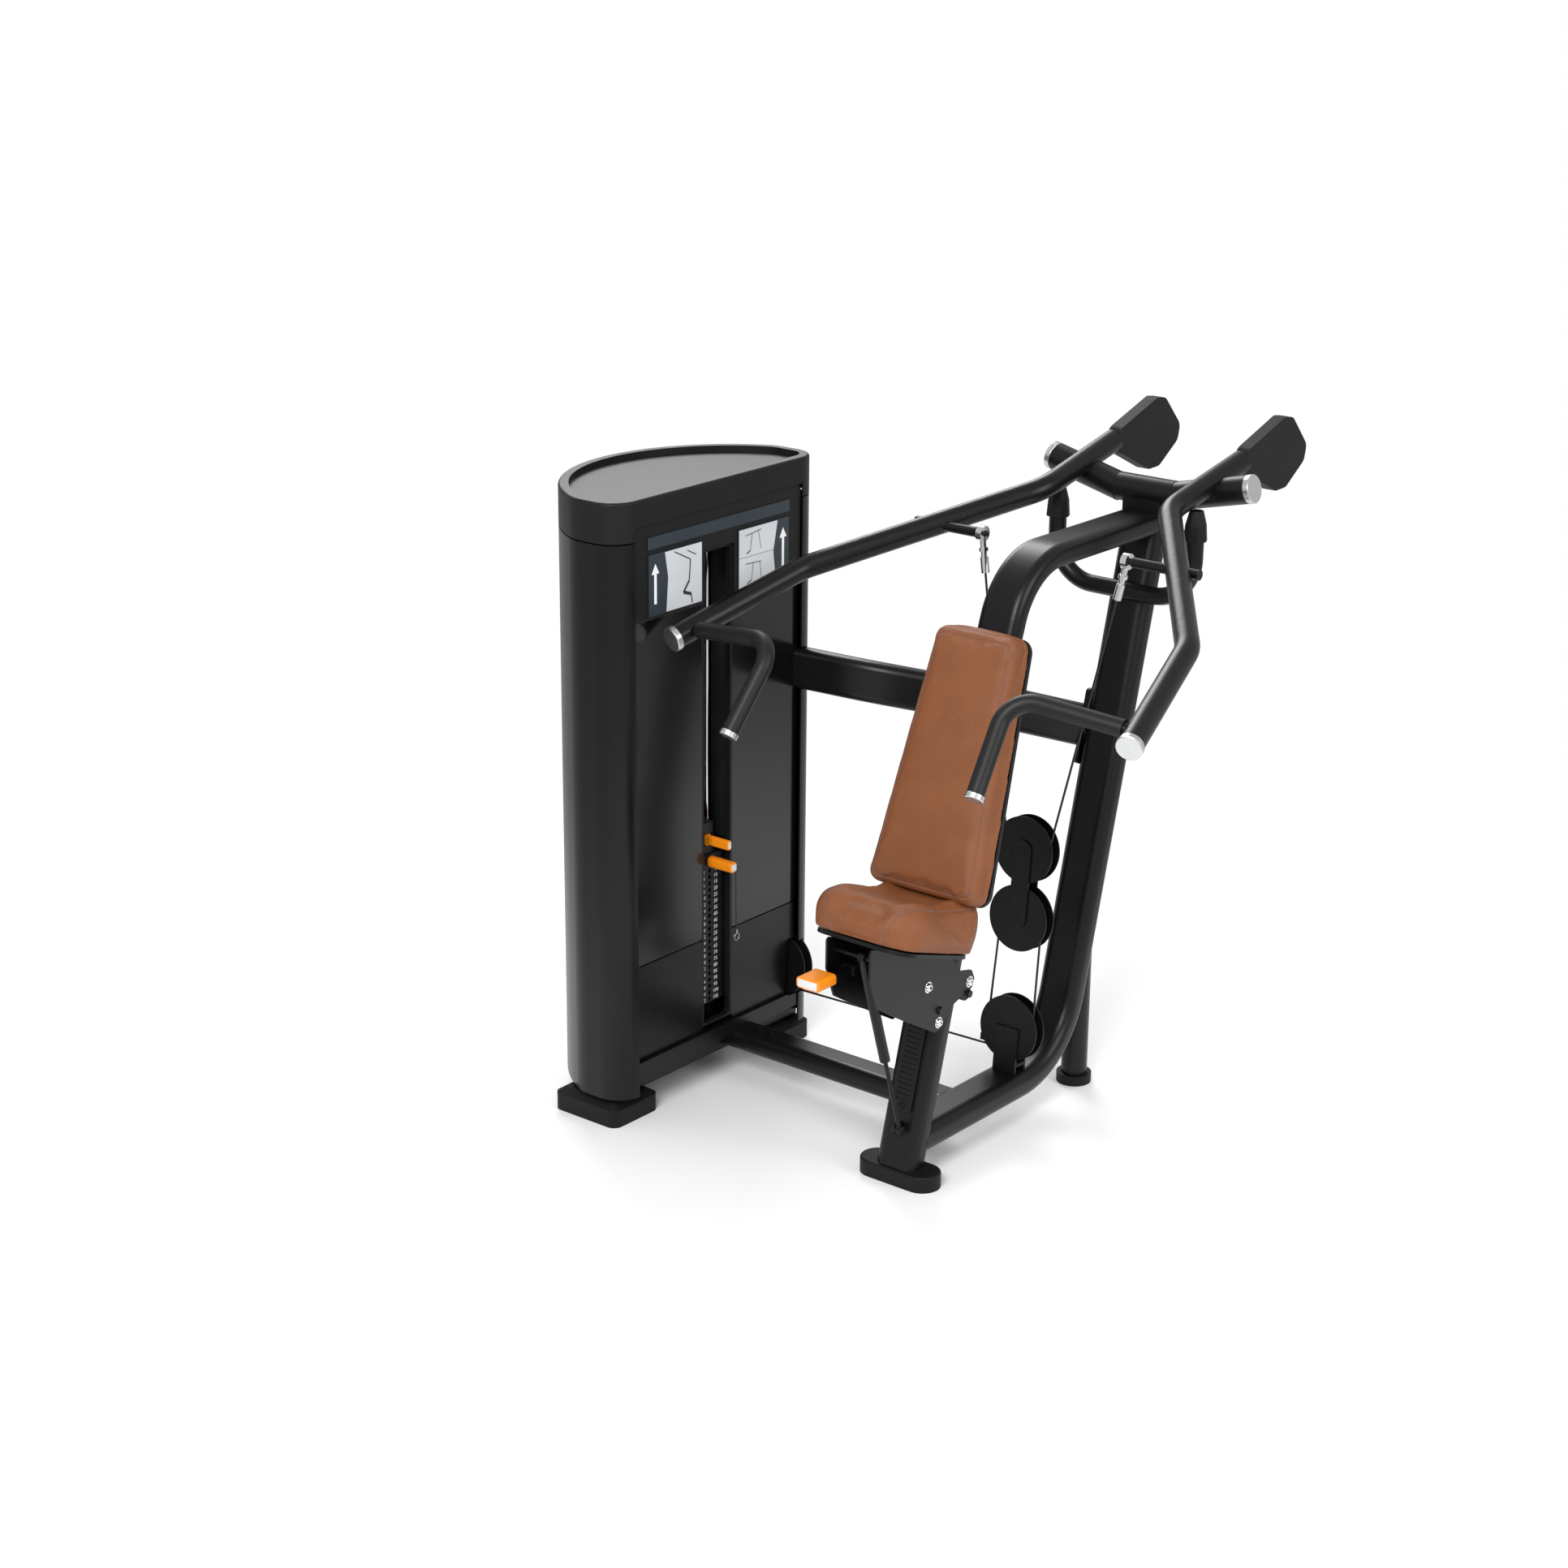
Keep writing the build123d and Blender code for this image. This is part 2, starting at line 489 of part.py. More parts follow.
with BuildPart() as stack_bumpers:
    for s in (-1, 1):
        rod_place = Location((STACK_X, TOWER_Y + s * ROD_SPREAD, 0))
        with BuildSketch(Plane.XY.offset(frame_bottom + BEAM_H).move(rod_place)):
            Circle(24)
            Circle(ROD_D / 2 + RUNNING, mode=Mode.SUBTRACT)
        extrude(amount=stack_bottom + PLATE_GAP / 2 - frame_bottom - BEAM_H)
write(stack_bumpers.part, "stack_bumpers")

HEAD_PLATE, HEAD_H, HEAD_W, HEAD_BACK = 29, 101, 44, 6
base = stack_top + PLATE_GAP
pin_z, lever_z = base + HEAD_PLATE / 2, base + HEAD_PLATE + 34
with BuildPart() as top_plate:
    with Locations([(STACK_X, TOWER_Y, base + HEAD_PLATE / 2)]):
        Box(plate_depth, PLATE_W, HEAD_PLATE)
    with Locations([(STACK_X, TOWER_Y, base + HEAD_H / 2)]):
        Box(plate_depth - 2 * HEAD_BACK, HEAD_W, HEAD_H)
    fillet(top_plate.edges().filter_by(Axis.Z), 5)
    with Locations([(STACK_X, TOWER_Y + s * ROD_SPREAD, base) for s in (-1, 1)]):
        Cylinder(ROD_D / 2 + RUNNING, 3 * HEAD_PLATE, mode=Mode.SUBTRACT)
    with Locations([(STACK_X, TOWER_Y, base)]):
        Cylinder(SELECTOR_D / 2, 2 * (HEAD_H - 20), mode=Mode.SUBTRACT)
    with Locations([(STACK_FRONT - HEAD_BACK, TOWER_Y, lever_z)]):
        Box(30, 30, 28, mode=Mode.SUBTRACT)
    with BuildSketch(Plane(origin=(STACK_FRONT, TOWER_Y, pin_z), z_dir=(1, 0, 0))):
        Circle(PIN_D / 2 + RUNNING)
    extrude(amount=-plate_depth / 2 - 16, mode=Mode.SUBTRACT)
write(top_plate.part, "top_plate")

with BuildPart() as selector_rod:
    with BuildSketch(Plane.XY.offset(stack_bottom + 4).move(Location((STACK_X, TOWER_Y, 0)))):
        Circle(SELECTOR_D / 2)
    extrude(amount=base + HEAD_H - 20 - stack_bottom - 4)
    with BuildSketch(Plane(origin=(STACK_X - 20, TOWER_Y, 0), x_dir=(0, 1, 0), z_dir=(1, 0, 0))):
        hole_heights = (pin_z, *(PLATE_Z0 + k * PLATE_PITCH for k in range(PLATE_COUNT)))
        with Locations([(0, z) for z in hole_heights]):
            Circle(PIN_D / 2 + RUNNING)
    extrude(amount=40, mode=Mode.SUBTRACT)
write(selector_rod.part, "selector_rod")

PIN_TIP, HANDLE_ROOT, HANDLE_TIP = STACK_X - 14, STACK_FRONT + 3, STACK_FRONT + 70
with BuildPart() as selector_pin:
    with BuildSketch(Plane(origin=(PIN_TIP, TOWER_Y, pin_z), z_dir=(1, 0, 0))):
        Circle(PIN_D / 2)
    extrude(amount=HANDLE_ROOT + 2 - PIN_TIP)
    with BuildSketch(Plane(origin=(HANDLE_ROOT, TOWER_Y, pin_z), x_dir=(0, 1, 0), z_dir=(1, 0, 0))):
        RectangleRounded(22, 24, 8)
    extrude(amount=HANDLE_TIP - HANDLE_ROOT)
    fillet(selector_pin.faces().sort_by(Axis.X)[-1].edges(), 4)
write(selector_pin.part, "selector_pin")

LEVER_L, LEVER_H, LEVER_T = 66, 22, 13
lever_pivot = (STACK_FRONT - 8, TOWER_Y, lever_z)
with BuildPart() as addon_lever:
    with BuildSketch(Plane(origin=lever_pivot, x_dir=(0, 1, 0), z_dir=(1, 0, 0))):
        RectangleRounded(LEVER_T, LEVER_H, 5)
    extrude(amount=LEVER_L)
    fillet(addon_lever.faces().sort_by(Axis.X)[-1].edges(), 3)
    with Locations([lever_pivot]):
        Cylinder(8, LEVER_H + 2)
write(addon_lever.part, "addon_lever")

# cord that hangs from the pin's handle, with a ring on its end
LANYARD_D = 2.6
lanyard_points = [(HANDLE_TIP - 8, TOWER_Y + 13.5, pin_z), (HANDLE_TIP - 6, TOWER_Y + 15, pin_z - 45),
                  (HANDLE_TIP - 9, TOWER_Y + 17, pin_z - 100), (HANDLE_TIP - 7, TOWER_Y + 18, pin_z - 158)]
with BuildPart() as pin_lanyard:
    add(run(lanyard_points, 260, LANYARD_D, LANYARD_D, side=(0, 1, 0)))
    ring_middle = (HANDLE_TIP - 7, TOWER_Y + 18, pin_z - 158 - 9.7)
    with BuildSketch(Plane(origin=ring_middle, x_dir=(0, 1, 0), z_dir=(1, 0, 0))):
        Circle(9)
        Circle(6.5, mode=Mode.SUBTRACT)
    extrude(amount=1.2, both=True)
write(pin_lanyard.part, "pin_lanyard")

# ---- sheaves and cables -------------------------------------------------------------------


def sheave(a, b, bore=AXLE_D):
    """Grooved cable wheel in the cable plane."""
    with BuildPart() as wheel:
        with BuildSketch(cable_plane.offset(-SHEAVE_W / 2)) as disc:
            with Locations([(a, b)]):
                Circle(SHEAVE_R + 6)
                Circle(bore / 2 + 0.05, mode=Mode.SUBTRACT)
        extrude(amount=SHEAVE_W)
        with BuildSketch(cable_plane.offset(-5)):
            with Locations([(a, b)]):
                Circle(SHEAVE_R + 8)
                Circle(SHEAVE_R - CABLE_D / 2 - GROOVE_GAP, mode=Mode.SUBTRACT)
        extrude(amount=10, mode=Mode.SUBTRACT)
    return wheel.part


bottom_centre = (0, LOW_SHEAVE_B)
write(sheave(*bottom_centre), "bottom_pulley")
write(sheave(0, BLOCK_LOW_B), "block_lower_pulley")
write(sheave(0, BLOCK_TOP_B), "block_upper_pulley")
write(sheave(TOWER_SHEAVE_A, TOWER_SHEAVE_B), "tower_pulley")

with BuildPart() as bottom_pulley_housing:
    add(guards(*bottom_centre))
    for side in (-1, 1):
        with BuildSketch(cable_plane.offset(side * (GUARD_GAP + GUARD_T))):
            with Locations([(0, (LOW_SHEAVE_B + 112) / 2 - 3)]):
                Rectangle(58, LOW_SHEAVE_B - 112 + 14)
        extrude(amount=side * 5)
    with BuildSketch(cable_plane.offset(-(GUARD_GAP + GUARD_T))):
        with Locations([(s * 24, 133) for s in (-1, 1)]):
            Circle(6)
    extrude(amount=2 * (GUARD_GAP + GUARD_T))
    with BuildSketch(cable_plane.offset(-GUARD_GAP)):
        with Locations([ANCHOR]):
            Rectangle(16, 16)
    extrude(amount=2 * GUARD_GAP)
    add(main_outer, mode=Mode.SUBTRACT)
write(bottom_pulley_housing.part, "bottom_pulley_housing")

with BuildPart() as block_frame:
    add(guards(0, BLOCK_LOW_B))
    add(guards(0, BLOCK_TOP_B))
    for side in (-1, 1):
        with BuildSketch(cable_plane.offset(side * (GUARD_GAP + GUARD_T))):
            with Locations([(0, (BLOCK_LOW_B + BLOCK_TOP_B) / 2)]):
                SlotOverall(BLOCK_TOP_B - BLOCK_LOW_B + 44, 44, rotation=90)
        extrude(amount=side * 4)
write(block_frame.part, "block_frame")

MOUNT_LOW = frame_bottom + BEAM_H + 4
with BuildPart() as tower_pulley_guard:
    add(guards(TOWER_SHEAVE_A, TOWER_SHEAVE_B))
    for side in (-1, 1):
        with BuildSketch(cable_plane.offset(side * (GUARD_GAP + GUARD_T))):
            with Locations([(TOWER_SHEAVE_A - 24, (TOWER_SHEAVE_B + 16 + MOUNT_LOW) / 2)]):
                Rectangle(40, TOWER_SHEAVE_B + 16 - MOUNT_LOW)
        extrude(amount=side * 4)
write(tower_pulley_guard.part, "tower_pulley_guard")

# top pulleys, turning about X, carry the cable over from the back of the tower to the stack


def cross_sheave(y):
    """Grooved wheel whose axle lies along X."""
    with BuildPart() as wheel:
        wheel_side = (STACK_X - SHEAVE_W / 2, y, top_sheave_z)
        with BuildSketch(Plane(origin=wheel_side, x_dir=(0, 1, 0), z_dir=(1, 0, 0))):
            Circle(SHEAVE_R + 6)
            Circle(AXLE_D / 2 + 0.05, mode=Mode.SUBTRACT)
        extrude(amount=SHEAVE_W)
        with BuildSketch(Plane(origin=(STACK_X - 5, y, top_sheave_z), x_dir=(0, 1, 0), z_dir=(1, 0, 0))):
            Circle(SHEAVE_R + 8)
            Circle(SHEAVE_R - CABLE_D / 2 - GROOVE_GAP, mode=Mode.SUBTRACT)
        extrude(amount=10, mode=Mode.SUBTRACT)
    return wheel.part


write(cross_sheave(rear_sheave_y), "top_pulley_rear")
write(cross_sheave(front_sheave_y), "top_pulley_front")

def tangent_point(centre, eye):
    """Where a line from the eye touches the right-hand side of a sheave, in the cable plane."""
    da, db = eye[0] - centre[0], eye[1] - centre[1]
    reach = math.hypot(da, db)
    angle = math.atan2(db, da) - math.acos(SHEAVE_R / reach)
    return centre[0] + SHEAVE_R * math.cos(angle), centre[1] + SHEAVE_R * math.sin(angle), angle


eye_b = PIN_Z / math.cos(math.radians(CABLE_LEAN))
touch_a, touch_b, touch_angle = tangent_point((0, BLOCK_TOP_B), (EYE_X, eye_b))

# wraps that ride on the block: under its upper wheel, over its lower wheel
with BuildPart() as block_cables:
    with BuildLine(cable_plane) as upper_wrap:
        CenterArc((0, BLOCK_TOP_B), SHEAVE_R, math.degrees(touch_angle), -180 - 2 * math.degrees(touch_angle))
    with BuildSketch(Plane(origin=upper_wrap.line @ 0, z_dir=upper_wrap.line % 0)):
        Circle(CABLE_D / 2)
    sweep(path=upper_wrap.line)
    with BuildLine(cable_plane) as lower_wrap:
        CenterArc((0, BLOCK_LOW_B), SHEAVE_R, 0, 180)
    with BuildSketch(Plane(origin=lower_wrap.line @ 0, z_dir=lower_wrap.line % 0)):
        Circle(CABLE_D / 2)
    sweep(path=lower_wrap.line)
write(block_cables.part, "block_cables")

# the two strands below the block, one to the anchor and one to the bottom pulley
strand_low = cable_plane.from_local_coords((ANCHOR[0], ANCHOR[1] + 8 + CLEAR, 0))
strand_high = cable_plane.from_local_coords((-SHEAVE_R, BLOCK_LOW_B - CLEAR, 0))
lead_low = cable_plane.from_local_coords((SHEAVE_R, LOW_SHEAVE_B + CLEAR, 0))
lead_high = cable_plane.from_local_coords((SHEAVE_R, BLOCK_LOW_B - CLEAR, 0))
with BuildPart() as lift_strands:
    add(rod(strand_low, strand_high, CABLE_D))
    add(rod(lead_low, lead_high, CABLE_D))
write(lift_strands.part, "lift_strands")

# round the bottom pulley, across to the tower and up to the top of the tower
cross = math.atan2(LOW_SHEAVE_B - TOWER_SHEAVE_B, -TOWER_SHEAVE_A)
below = (math.sin(cross) * SHEAVE_R, -math.cos(cross) * SHEAVE_R)
with BuildPart() as drive_cable:
    with BuildLine(cable_plane) as drive:
        CenterArc(bottom_centre, SHEAVE_R, 0, -90 + math.degrees(cross))
        Line((bottom_centre[0] + below[0], bottom_centre[1] + below[1]),
             (TOWER_SHEAVE_A + below[0], TOWER_SHEAVE_B + below[1]))
        cross_angle = math.degrees(cross)
        CenterArc((TOWER_SHEAVE_A, TOWER_SHEAVE_B), SHEAVE_R, -90 + cross_angle, -90 - cross_angle)
    wire = drive.wires()[0]
    with BuildSketch(Plane(origin=wire @ 0, z_dir=wire % 0)):
        Circle(CABLE_D / 2)
    sweep(path=wire)
up_start_z = cable_plane.from_local_coords((0, TOWER_SHEAVE_B, 0)).Z + CLEAR
up_start = (STACK_X, rear_sheave_y + SHEAVE_R, up_start_z)
top_turn = top_sheave_z + SHEAVE_R
with BuildPart() as tower_cable:
    add(rod(up_start, (STACK_X, rear_sheave_y + SHEAVE_R, top_sheave_z), CABLE_D))
    add(rod((STACK_X, rear_sheave_y, top_turn), (STACK_X, front_sheave_y, top_turn), CABLE_D))
    for y, start_angle in ((rear_sheave_y, 0), (front_sheave_y, 90)):
        wheel_plane = Plane(origin=(STACK_X, y, top_sheave_z), x_dir=(0, 1, 0), z_dir=(1, 0, 0))
        with BuildLine(wheel_plane) as turn_line:
            CenterArc((0, 0), SHEAVE_R, start_angle, 90)
        with BuildSketch(Plane(origin=turn_line.line @ 0, z_dir=turn_line.line % 0)):
            Circle(CABLE_D / 2)
        sweep(path=turn_line.line)
    add(drive_cable.part)
write(tower_cable.part, "drive_cable")
strand_foot = (STACK_X, TOWER_Y, base + HEAD_H + CLEAR)
write(rod(strand_foot, (STACK_X, TOWER_Y, top_sheave_z - CLEAR), CABLE_D), "stack_strand")

# ---- press arms ---------------------------------------------------------------------------
cap_axis = (Vector(*ARM_POINTS[0]) - Vector(*ARM_POINTS[1])).normalized()
tip_axis = (Vector(*BAR_POINTS[2]) - Vector(*BAR_POINTS[1])).normalized()
arm_plane = Plane(origin=ARM_POINTS[0], z_dir=-cap_axis)
bar_way = (Vector(*BAR_POINTS[1]) - Vector(*BAR_POINTS[0])).normalized()
root = Vector(*BAR_POINTS[0]) + bar_way * (ARM_D / 2 + 4)
CAP_T, END_CAP_T = 14, 12
with BuildPart() as arm_outer:
    add(run(ARM_POINTS, ARM_BEND, ARM_D, ARM_D))
bar_solid = run(BAR_POINTS, GRIP_BEND, BAR_D, BAR_D)
with BuildPart() as arm_tube:
    add(arm_outer.part)
    add(rod(hub_a, hub_b, HUB_D))
    add(bar_solid)
    add(rod((PIN_INNER, PIN_Y, PIN_Z), (PIN_OUTER, PIN_Y, PIN_Z), CABLE_PIN_D))
    add(rod((EYE_X - EYE_W / 2 - 8, PIN_Y, PIN_Z), (PIN_INNER, PIN_Y, PIN_Z), EYE_PIN_D))
    with Locations([(EYE_X, PIN_Y, PIN_Z)]):
        Sphere(BALL_R, rotation=(0, 90, 0))
    add(rod(Vector(*HUB_START) - hub_axis * 1, hub_b + hub_axis * 1, SPINDLE_D + 0.1), mode=Mode.SUBTRACT)
write(arm_tube.part, "left_arm_tube")
write(mirrored(arm_tube.part), "right_arm_tube")

with BuildPart() as grip:
    add(run([root, *BAR_POINTS[1:]], GRIP_BEND, GRIP_D, GRIP_D))
    add(bar_solid, mode=Mode.SUBTRACT)
    add(arm_outer.part, mode=Mode.SUBTRACT)
write(grip.part, "left_grip")
write(mirrored(grip.part), "right_grip")

with BuildPart() as arm_caps:
    for origin, axis, diameter, thick in ((ARM_POINTS[0], cap_axis, ARM_D + 4, CAP_T),
                                          (hub_b, hub_axis, HUB_D, CAP_T),
                                          (BAR_POINTS[2], tip_axis, GRIP_D + 2, END_CAP_T)):
        with BuildSketch(Plane(origin=origin, z_dir=axis)):
            Circle(diameter / 2)
        extrude(amount=thick)
    chamfer(arm_caps.edges().filter_by(GeomType.CIRCLE), 1.5)
write(arm_caps.part, "left_arm_caps")
write(mirrored(arm_caps.part), "right_arm_caps")

# counterweight on the rear end of the arm
weight_outline = [
    (958, 1362), (1082, 1303), (1124, 1304), (1198, 1352),
    (1206, 1388), (1140, 1458), (1108, 1463), (952, 1412),
]
with BuildPart() as counterweight:
    weight_side = (ARM_POINTS[3][0] - WEIGHT_T / 2, 0, 0)
    with BuildSketch(Plane(origin=weight_side, x_dir=(0, 1, 0), z_dir=(1, 0, 0))) as paddle:
        with BuildLine():
            Polyline(*weight_outline, close=True)
        make_face()
        fillet(paddle.vertices(), 24)
    extrude(amount=WEIGHT_T)
    fillet(counterweight.faces().filter_by(Axis.X).edges(), 3)
    add(arm_outer.part, mode=Mode.SUBTRACT)
write(counterweight.part, "left_counterweight")
write(mirrored(counterweight.part), "right_counterweight")

# rod end on the arm's cable pin, its coupling, and the strand down to the block
eye = cable_plane.from_local_coords((EYE_X, eye_b, 0))
touch = cable_plane.from_local_coords((touch_a, touch_b, 0))
strand_axis = (touch - eye).normalized()
ROD_END_L = 84
with BuildPart() as rod_end:
    with BuildSketch(Plane(origin=(EYE_X - EYE_W / 2, PIN_Y, PIN_Z), z_dir=(1, 0, 0))):
        Circle(EYE_R)
    extrude(amount=EYE_W)
    add(rod(eye, eye + strand_axis * 52, 13))
    add(rod(eye + strand_axis * 30, eye + strand_axis * 38, 20))
    add(rod(eye + strand_axis * 50, eye + strand_axis * ROD_END_L, 18))
    with BuildSketch(Plane(origin=(EYE_X - EYE_W, PIN_Y, PIN_Z), z_dir=(1, 0, 0))):
        Circle(EYE_PIN_D / 2 + 2.6)
    extrude(amount=2 * EYE_W, mode=Mode.SUBTRACT)
    with Locations([(EYE_X, PIN_Y, PIN_Z)]):
        Sphere(BALL_R + 0.3, rotation=(0, 90, 0), mode=Mode.SUBTRACT)
write(rod_end.part, "left_rod_end")
write(mirrored(rod_end.part), "right_rod_end")
strand = rod(eye + strand_axis * ROD_END_L, touch - strand_axis * CLEAR, CABLE_D)
write(strand, "left_arm_cable")
write(mirrored(strand), "right_arm_cable")

# ---- back pad -----------------------------------------------------------------------------
pad_sin, pad_cos = math.sin(math.radians(PAD_LEAN)), math.cos(math.radians(PAD_LEAN))
pad_plane = Plane(origin=(0, PAD_FOOT_Y, PAD_FOOT_Z), x_dir=(1, 0, 0), z_dir=(0, -pad_cos, pad_sin))
pad_back = -(PAD_T + SHELL_T) / 2


def pad_outline(inset):
    """Tapered outline of the back pad with rounded corners."""
    top, low = PAD_TOP_W / 2 - inset, PAD_BOTTOM_W / 2 - inset
    with BuildSketch() as outline:
        with BuildLine():
            upper = PAD_LENGTH - inset
            Polyline((-low, inset), (low, inset), (top, upper), (-top, upper), close=True)
        make_face()
        fillet(outline.vertices(), 34 - inset)
    return outline.sketch


with BuildPart() as back_shell:
    with BuildSketch(pad_plane.offset(pad_back)):
        add(pad_outline(4))
    extrude(amount=SHELL_T)
    with BuildSketch(pad_plane.offset(pad_back)):
        with Locations([(0, PAD_LENGTH * share) for share in (0.4, 0.8)]):
            Circle(24)
    extrude(amount=-1)
write(back_shell.part, "back_shell")
with BuildPart() as back_pad:
    with BuildSketch(pad_plane.offset(pad_back + SHELL_T + CLEAR)):
        add(pad_outline(0))
    extrude(amount=PAD_T - CLEAR)
    fillet(back_pad.faces().sort_by(lambda f: f.center().dot(Vector(0, -pad_cos, pad_sin)))[-1].edges(), 12)
write(back_pad.part, "back_pad")

# ---- seat ---------------------------------------------------------------------------------
seat_tilt = math.radians(SEAT_TILT)
seat_normal = Vector(0, math.sin(seat_tilt), math.cos(seat_tilt))
seat_plane = Plane(origin=(0, SEAT_Y, SEAT_Z), x_dir=(1, 0, 0), z_dir=seat_normal)


def seat_outline(inset):
    """Plan of the seat, a little narrower at the rear."""
    wide, narrow, half = SEAT_W / 2 - inset, SEAT_REAR_W / 2 - inset, SEAT_L / 2 - inset
    with BuildSketch() as outline:
        with BuildLine():
            Polyline((-wide, -half), (wide, -half), (narrow, half), (-narrow, half), close=True)
        make_face()
        fillet(outline.vertices().group_by(Axis.Y)[0], 62 - inset)
        fillet(outline.vertices().group_by(Axis.Y)[-1], 44 - inset)
    return outline.sketch


with BuildPart() as seat_pad:
    with BuildSketch(seat_plane.offset(PAN_T + CLEAR)):
        add(seat_outline(0))
    extrude(amount=SEAT_T)
    fillet(seat_pad.faces().sort_by(lambda f: f.center().dot(seat_normal))[-1].edges(), 18)
write(seat_pad.part, "seat_pad")
with BuildPart() as seat_pan:
    with BuildSketch(seat_plane):
        add(seat_outline(12))
    extrude(amount=PAN_T)


def pan_z(y):
    """Height of the pan's underside at a distance along Y."""
    return SEAT_Z - (y - SEAT_Y) * math.tan(seat_tilt)


plate_front, plate_rear = -190, 78
gas_top, gas_foot = Vector(15, -160, 548), Vector(15, -25, 123)
plate_outline = [
    (plate_front, pan_z(plate_front)), (-190, 516), (-165, 449), (-81, 398), (33, 333), (52, 336),
    (84, 374), (160, 394), (168, 412), (158, 434), (115, 444), (plate_rear, pan_z(plate_rear)),
]
with BuildPart() as carriage_plates:
    for side in (-1, 1):
        with BuildSketch(Plane(origin=(side * (PLATE_X - CARRIAGE_T / 2) - CARRIAGE_T / 2, 0, 0),
                               x_dir=(0, 1, 0), z_dir=(1, 0, 0))) as side_plate:
            with BuildLine():
                Polyline(*plate_outline, close=True)
            make_face()
            fillet(side_plate.vertices().filter_by(lambda v: v.Z < 460), 8)
        extrude(amount=CARRIAGE_T)
    add(rod((CARRIAGE_T - PLATE_X, gas_top.Y, gas_top.Z), (PLATE_X - CARRIAGE_T, gas_top.Y, gas_top.Z), 9))

across = Vector(0, math.cos(math.radians(POST_LEAN)), -math.sin(math.radians(POST_LEAN)))
roller_reach = MAIN_T / 2 + ROLLER_R + CLEAR
GROOVE_HALF, GROOVE_DEPTH = 26, 7
lower_roller = Vector(0, post_y(366), 366) - across * roller_reach
upper_roller = Vector(0, post_y(397), 397) + across * roller_reach
cross_bolt = Vector(0, 5, 443)
with BuildPart() as carriage_rollers:
    for centre in (lower_roller, upper_roller):
        end = PLATE_X - CARRIAGE_T - 1
        add(rod((-end, centre.Y, centre.Z), (-GROOVE_HALF, centre.Y, centre.Z), 2 * ROLLER_R))
        add(rod((GROOVE_HALF, centre.Y, centre.Z), (end, centre.Y, centre.Z), 2 * ROLLER_R))
        groove_d = 2 * (ROLLER_R - GROOVE_DEPTH)
        add(rod((-GROOVE_HALF, centre.Y, centre.Z), (GROOVE_HALF, centre.Y, centre.Z), groove_d))
write(carriage_rollers.part, "carriage_rollers")
with BuildPart() as carriage_bolts:
    for centre in (lower_roller, upper_roller, cross_bolt):
        for side in (-1, 1):
            with BuildSketch(Plane(origin=(side * PLATE_X, centre.Y, centre.Z), z_dir=(side, 0, 0))):
                Circle(9)
            extrude(amount=6, taper=12)
    add(carriage_plates.part)
    add(seat_pan.part)
write(carriage_bolts.part, "seat_carriage")

PADDLE_X, PADDLE_W, PADDLE_H, PADDLE_FRONT, PADDLE_BACK = -51, 58, 24, -255, -198
lever_axis_y, lever_axis_z = -132, 502
with BuildPart() as release_lever:
    with BuildSketch(Plane(origin=(PADDLE_X, PADDLE_BACK, lever_axis_z), x_dir=(1, 0, 0), z_dir=(0, -1, 0))):
        RectangleRounded(PADDLE_W, PADDLE_H, 8)
    extrude(amount=PADDLE_BACK - PADDLE_FRONT)
    fillet(release_lever.faces().sort_by(Axis.Y)[0].edges(), 3)
    add(box((-46, PADDLE_BACK - 4, lever_axis_z - 8), (-26, lever_axis_y, lever_axis_z + 8)))
    add(rod((CARRIAGE_T - PLATE_X + 1, lever_axis_y, lever_axis_z), (-20, lever_axis_y, lever_axis_z), 24))
write(release_lever.part, "release_lever")

# gas spring that lifts the seat: cylinder above, rod below
gas_span = (gas_foot - gas_top).length
gas_axis = (gas_foot - gas_top).normalized()
GAS_BARREL, GAS_BORE_START, GAS_ROD_START = 262, 18, 200
with BuildPart() as gas_cylinder:
    add(rod(gas_top, gas_top + gas_axis * GAS_BARREL, GAS_D))
    add(rod(gas_top - Vector(8, 0, 0), gas_top + Vector(8, 0, 0), 20))
    bore_end = gas_top + gas_axis * (GAS_BARREL + 1)
    add(rod(gas_top + gas_axis * GAS_BORE_START, bore_end, GAS_ROD_D + 1), mode=Mode.SUBTRACT)
    add(rod(gas_top - Vector(12, 0, 0), gas_top + Vector(12, 0, 0), 9.1), mode=Mode.SUBTRACT)
write(gas_cylinder.part, "gas_cylinder")
with BuildPart() as gas_rod:
    add(rod(gas_top + gas_axis * GAS_ROD_START, gas_foot, GAS_ROD_D))
    add(rod(gas_foot - Vector(7, 0, 0), gas_foot + Vector(7, 0, 0), 19))
write(gas_rod.part, "gas_rod")
with BuildPart() as gas_foot_stud:
    add(box((0, gas_foot.Y - 9, gas_foot.Z - 9), (gas_foot.X - 8, 10, gas_foot.Z + 9)))
    add(post_envelope.part, mode=Mode.SUBTRACT)

# ribbed cover on the front of the post and slotted rack on its back
COVER_W, COVER_T, COVER_LOW, COVER_HIGH, RIBS = 48, 5, 150, 392, 18
front_plane = Plane(origin=(0, POST_Y0, 0), x_dir=(1, 0, 0), z_dir=-across)
with BuildPart() as post_cover:
    with BuildSketch(front_plane.offset(MAIN_T / 2)):
        with Locations([(0, (COVER_LOW + COVER_HIGH) / 2)]):
            RectangleRounded(COVER_W, COVER_HIGH - COVER_LOW, 10)
    extrude(amount=COVER_T)
    with BuildSketch(front_plane.offset(MAIN_T / 2 + COVER_T)):
        rib_pitch = (COVER_HIGH - COVER_LOW - 44) / RIBS
        with Locations([(0, COVER_LOW + 26 + rib_pitch * k) for k in range(RIBS)]):
            Rectangle(COVER_W - 14, 4)
    extrude(amount=-2, mode=Mode.SUBTRACT)
RACK_W, RACK_T, RACK_LOW, RACK_HIGH, HOLES = 34, 5, 190, 520, 13
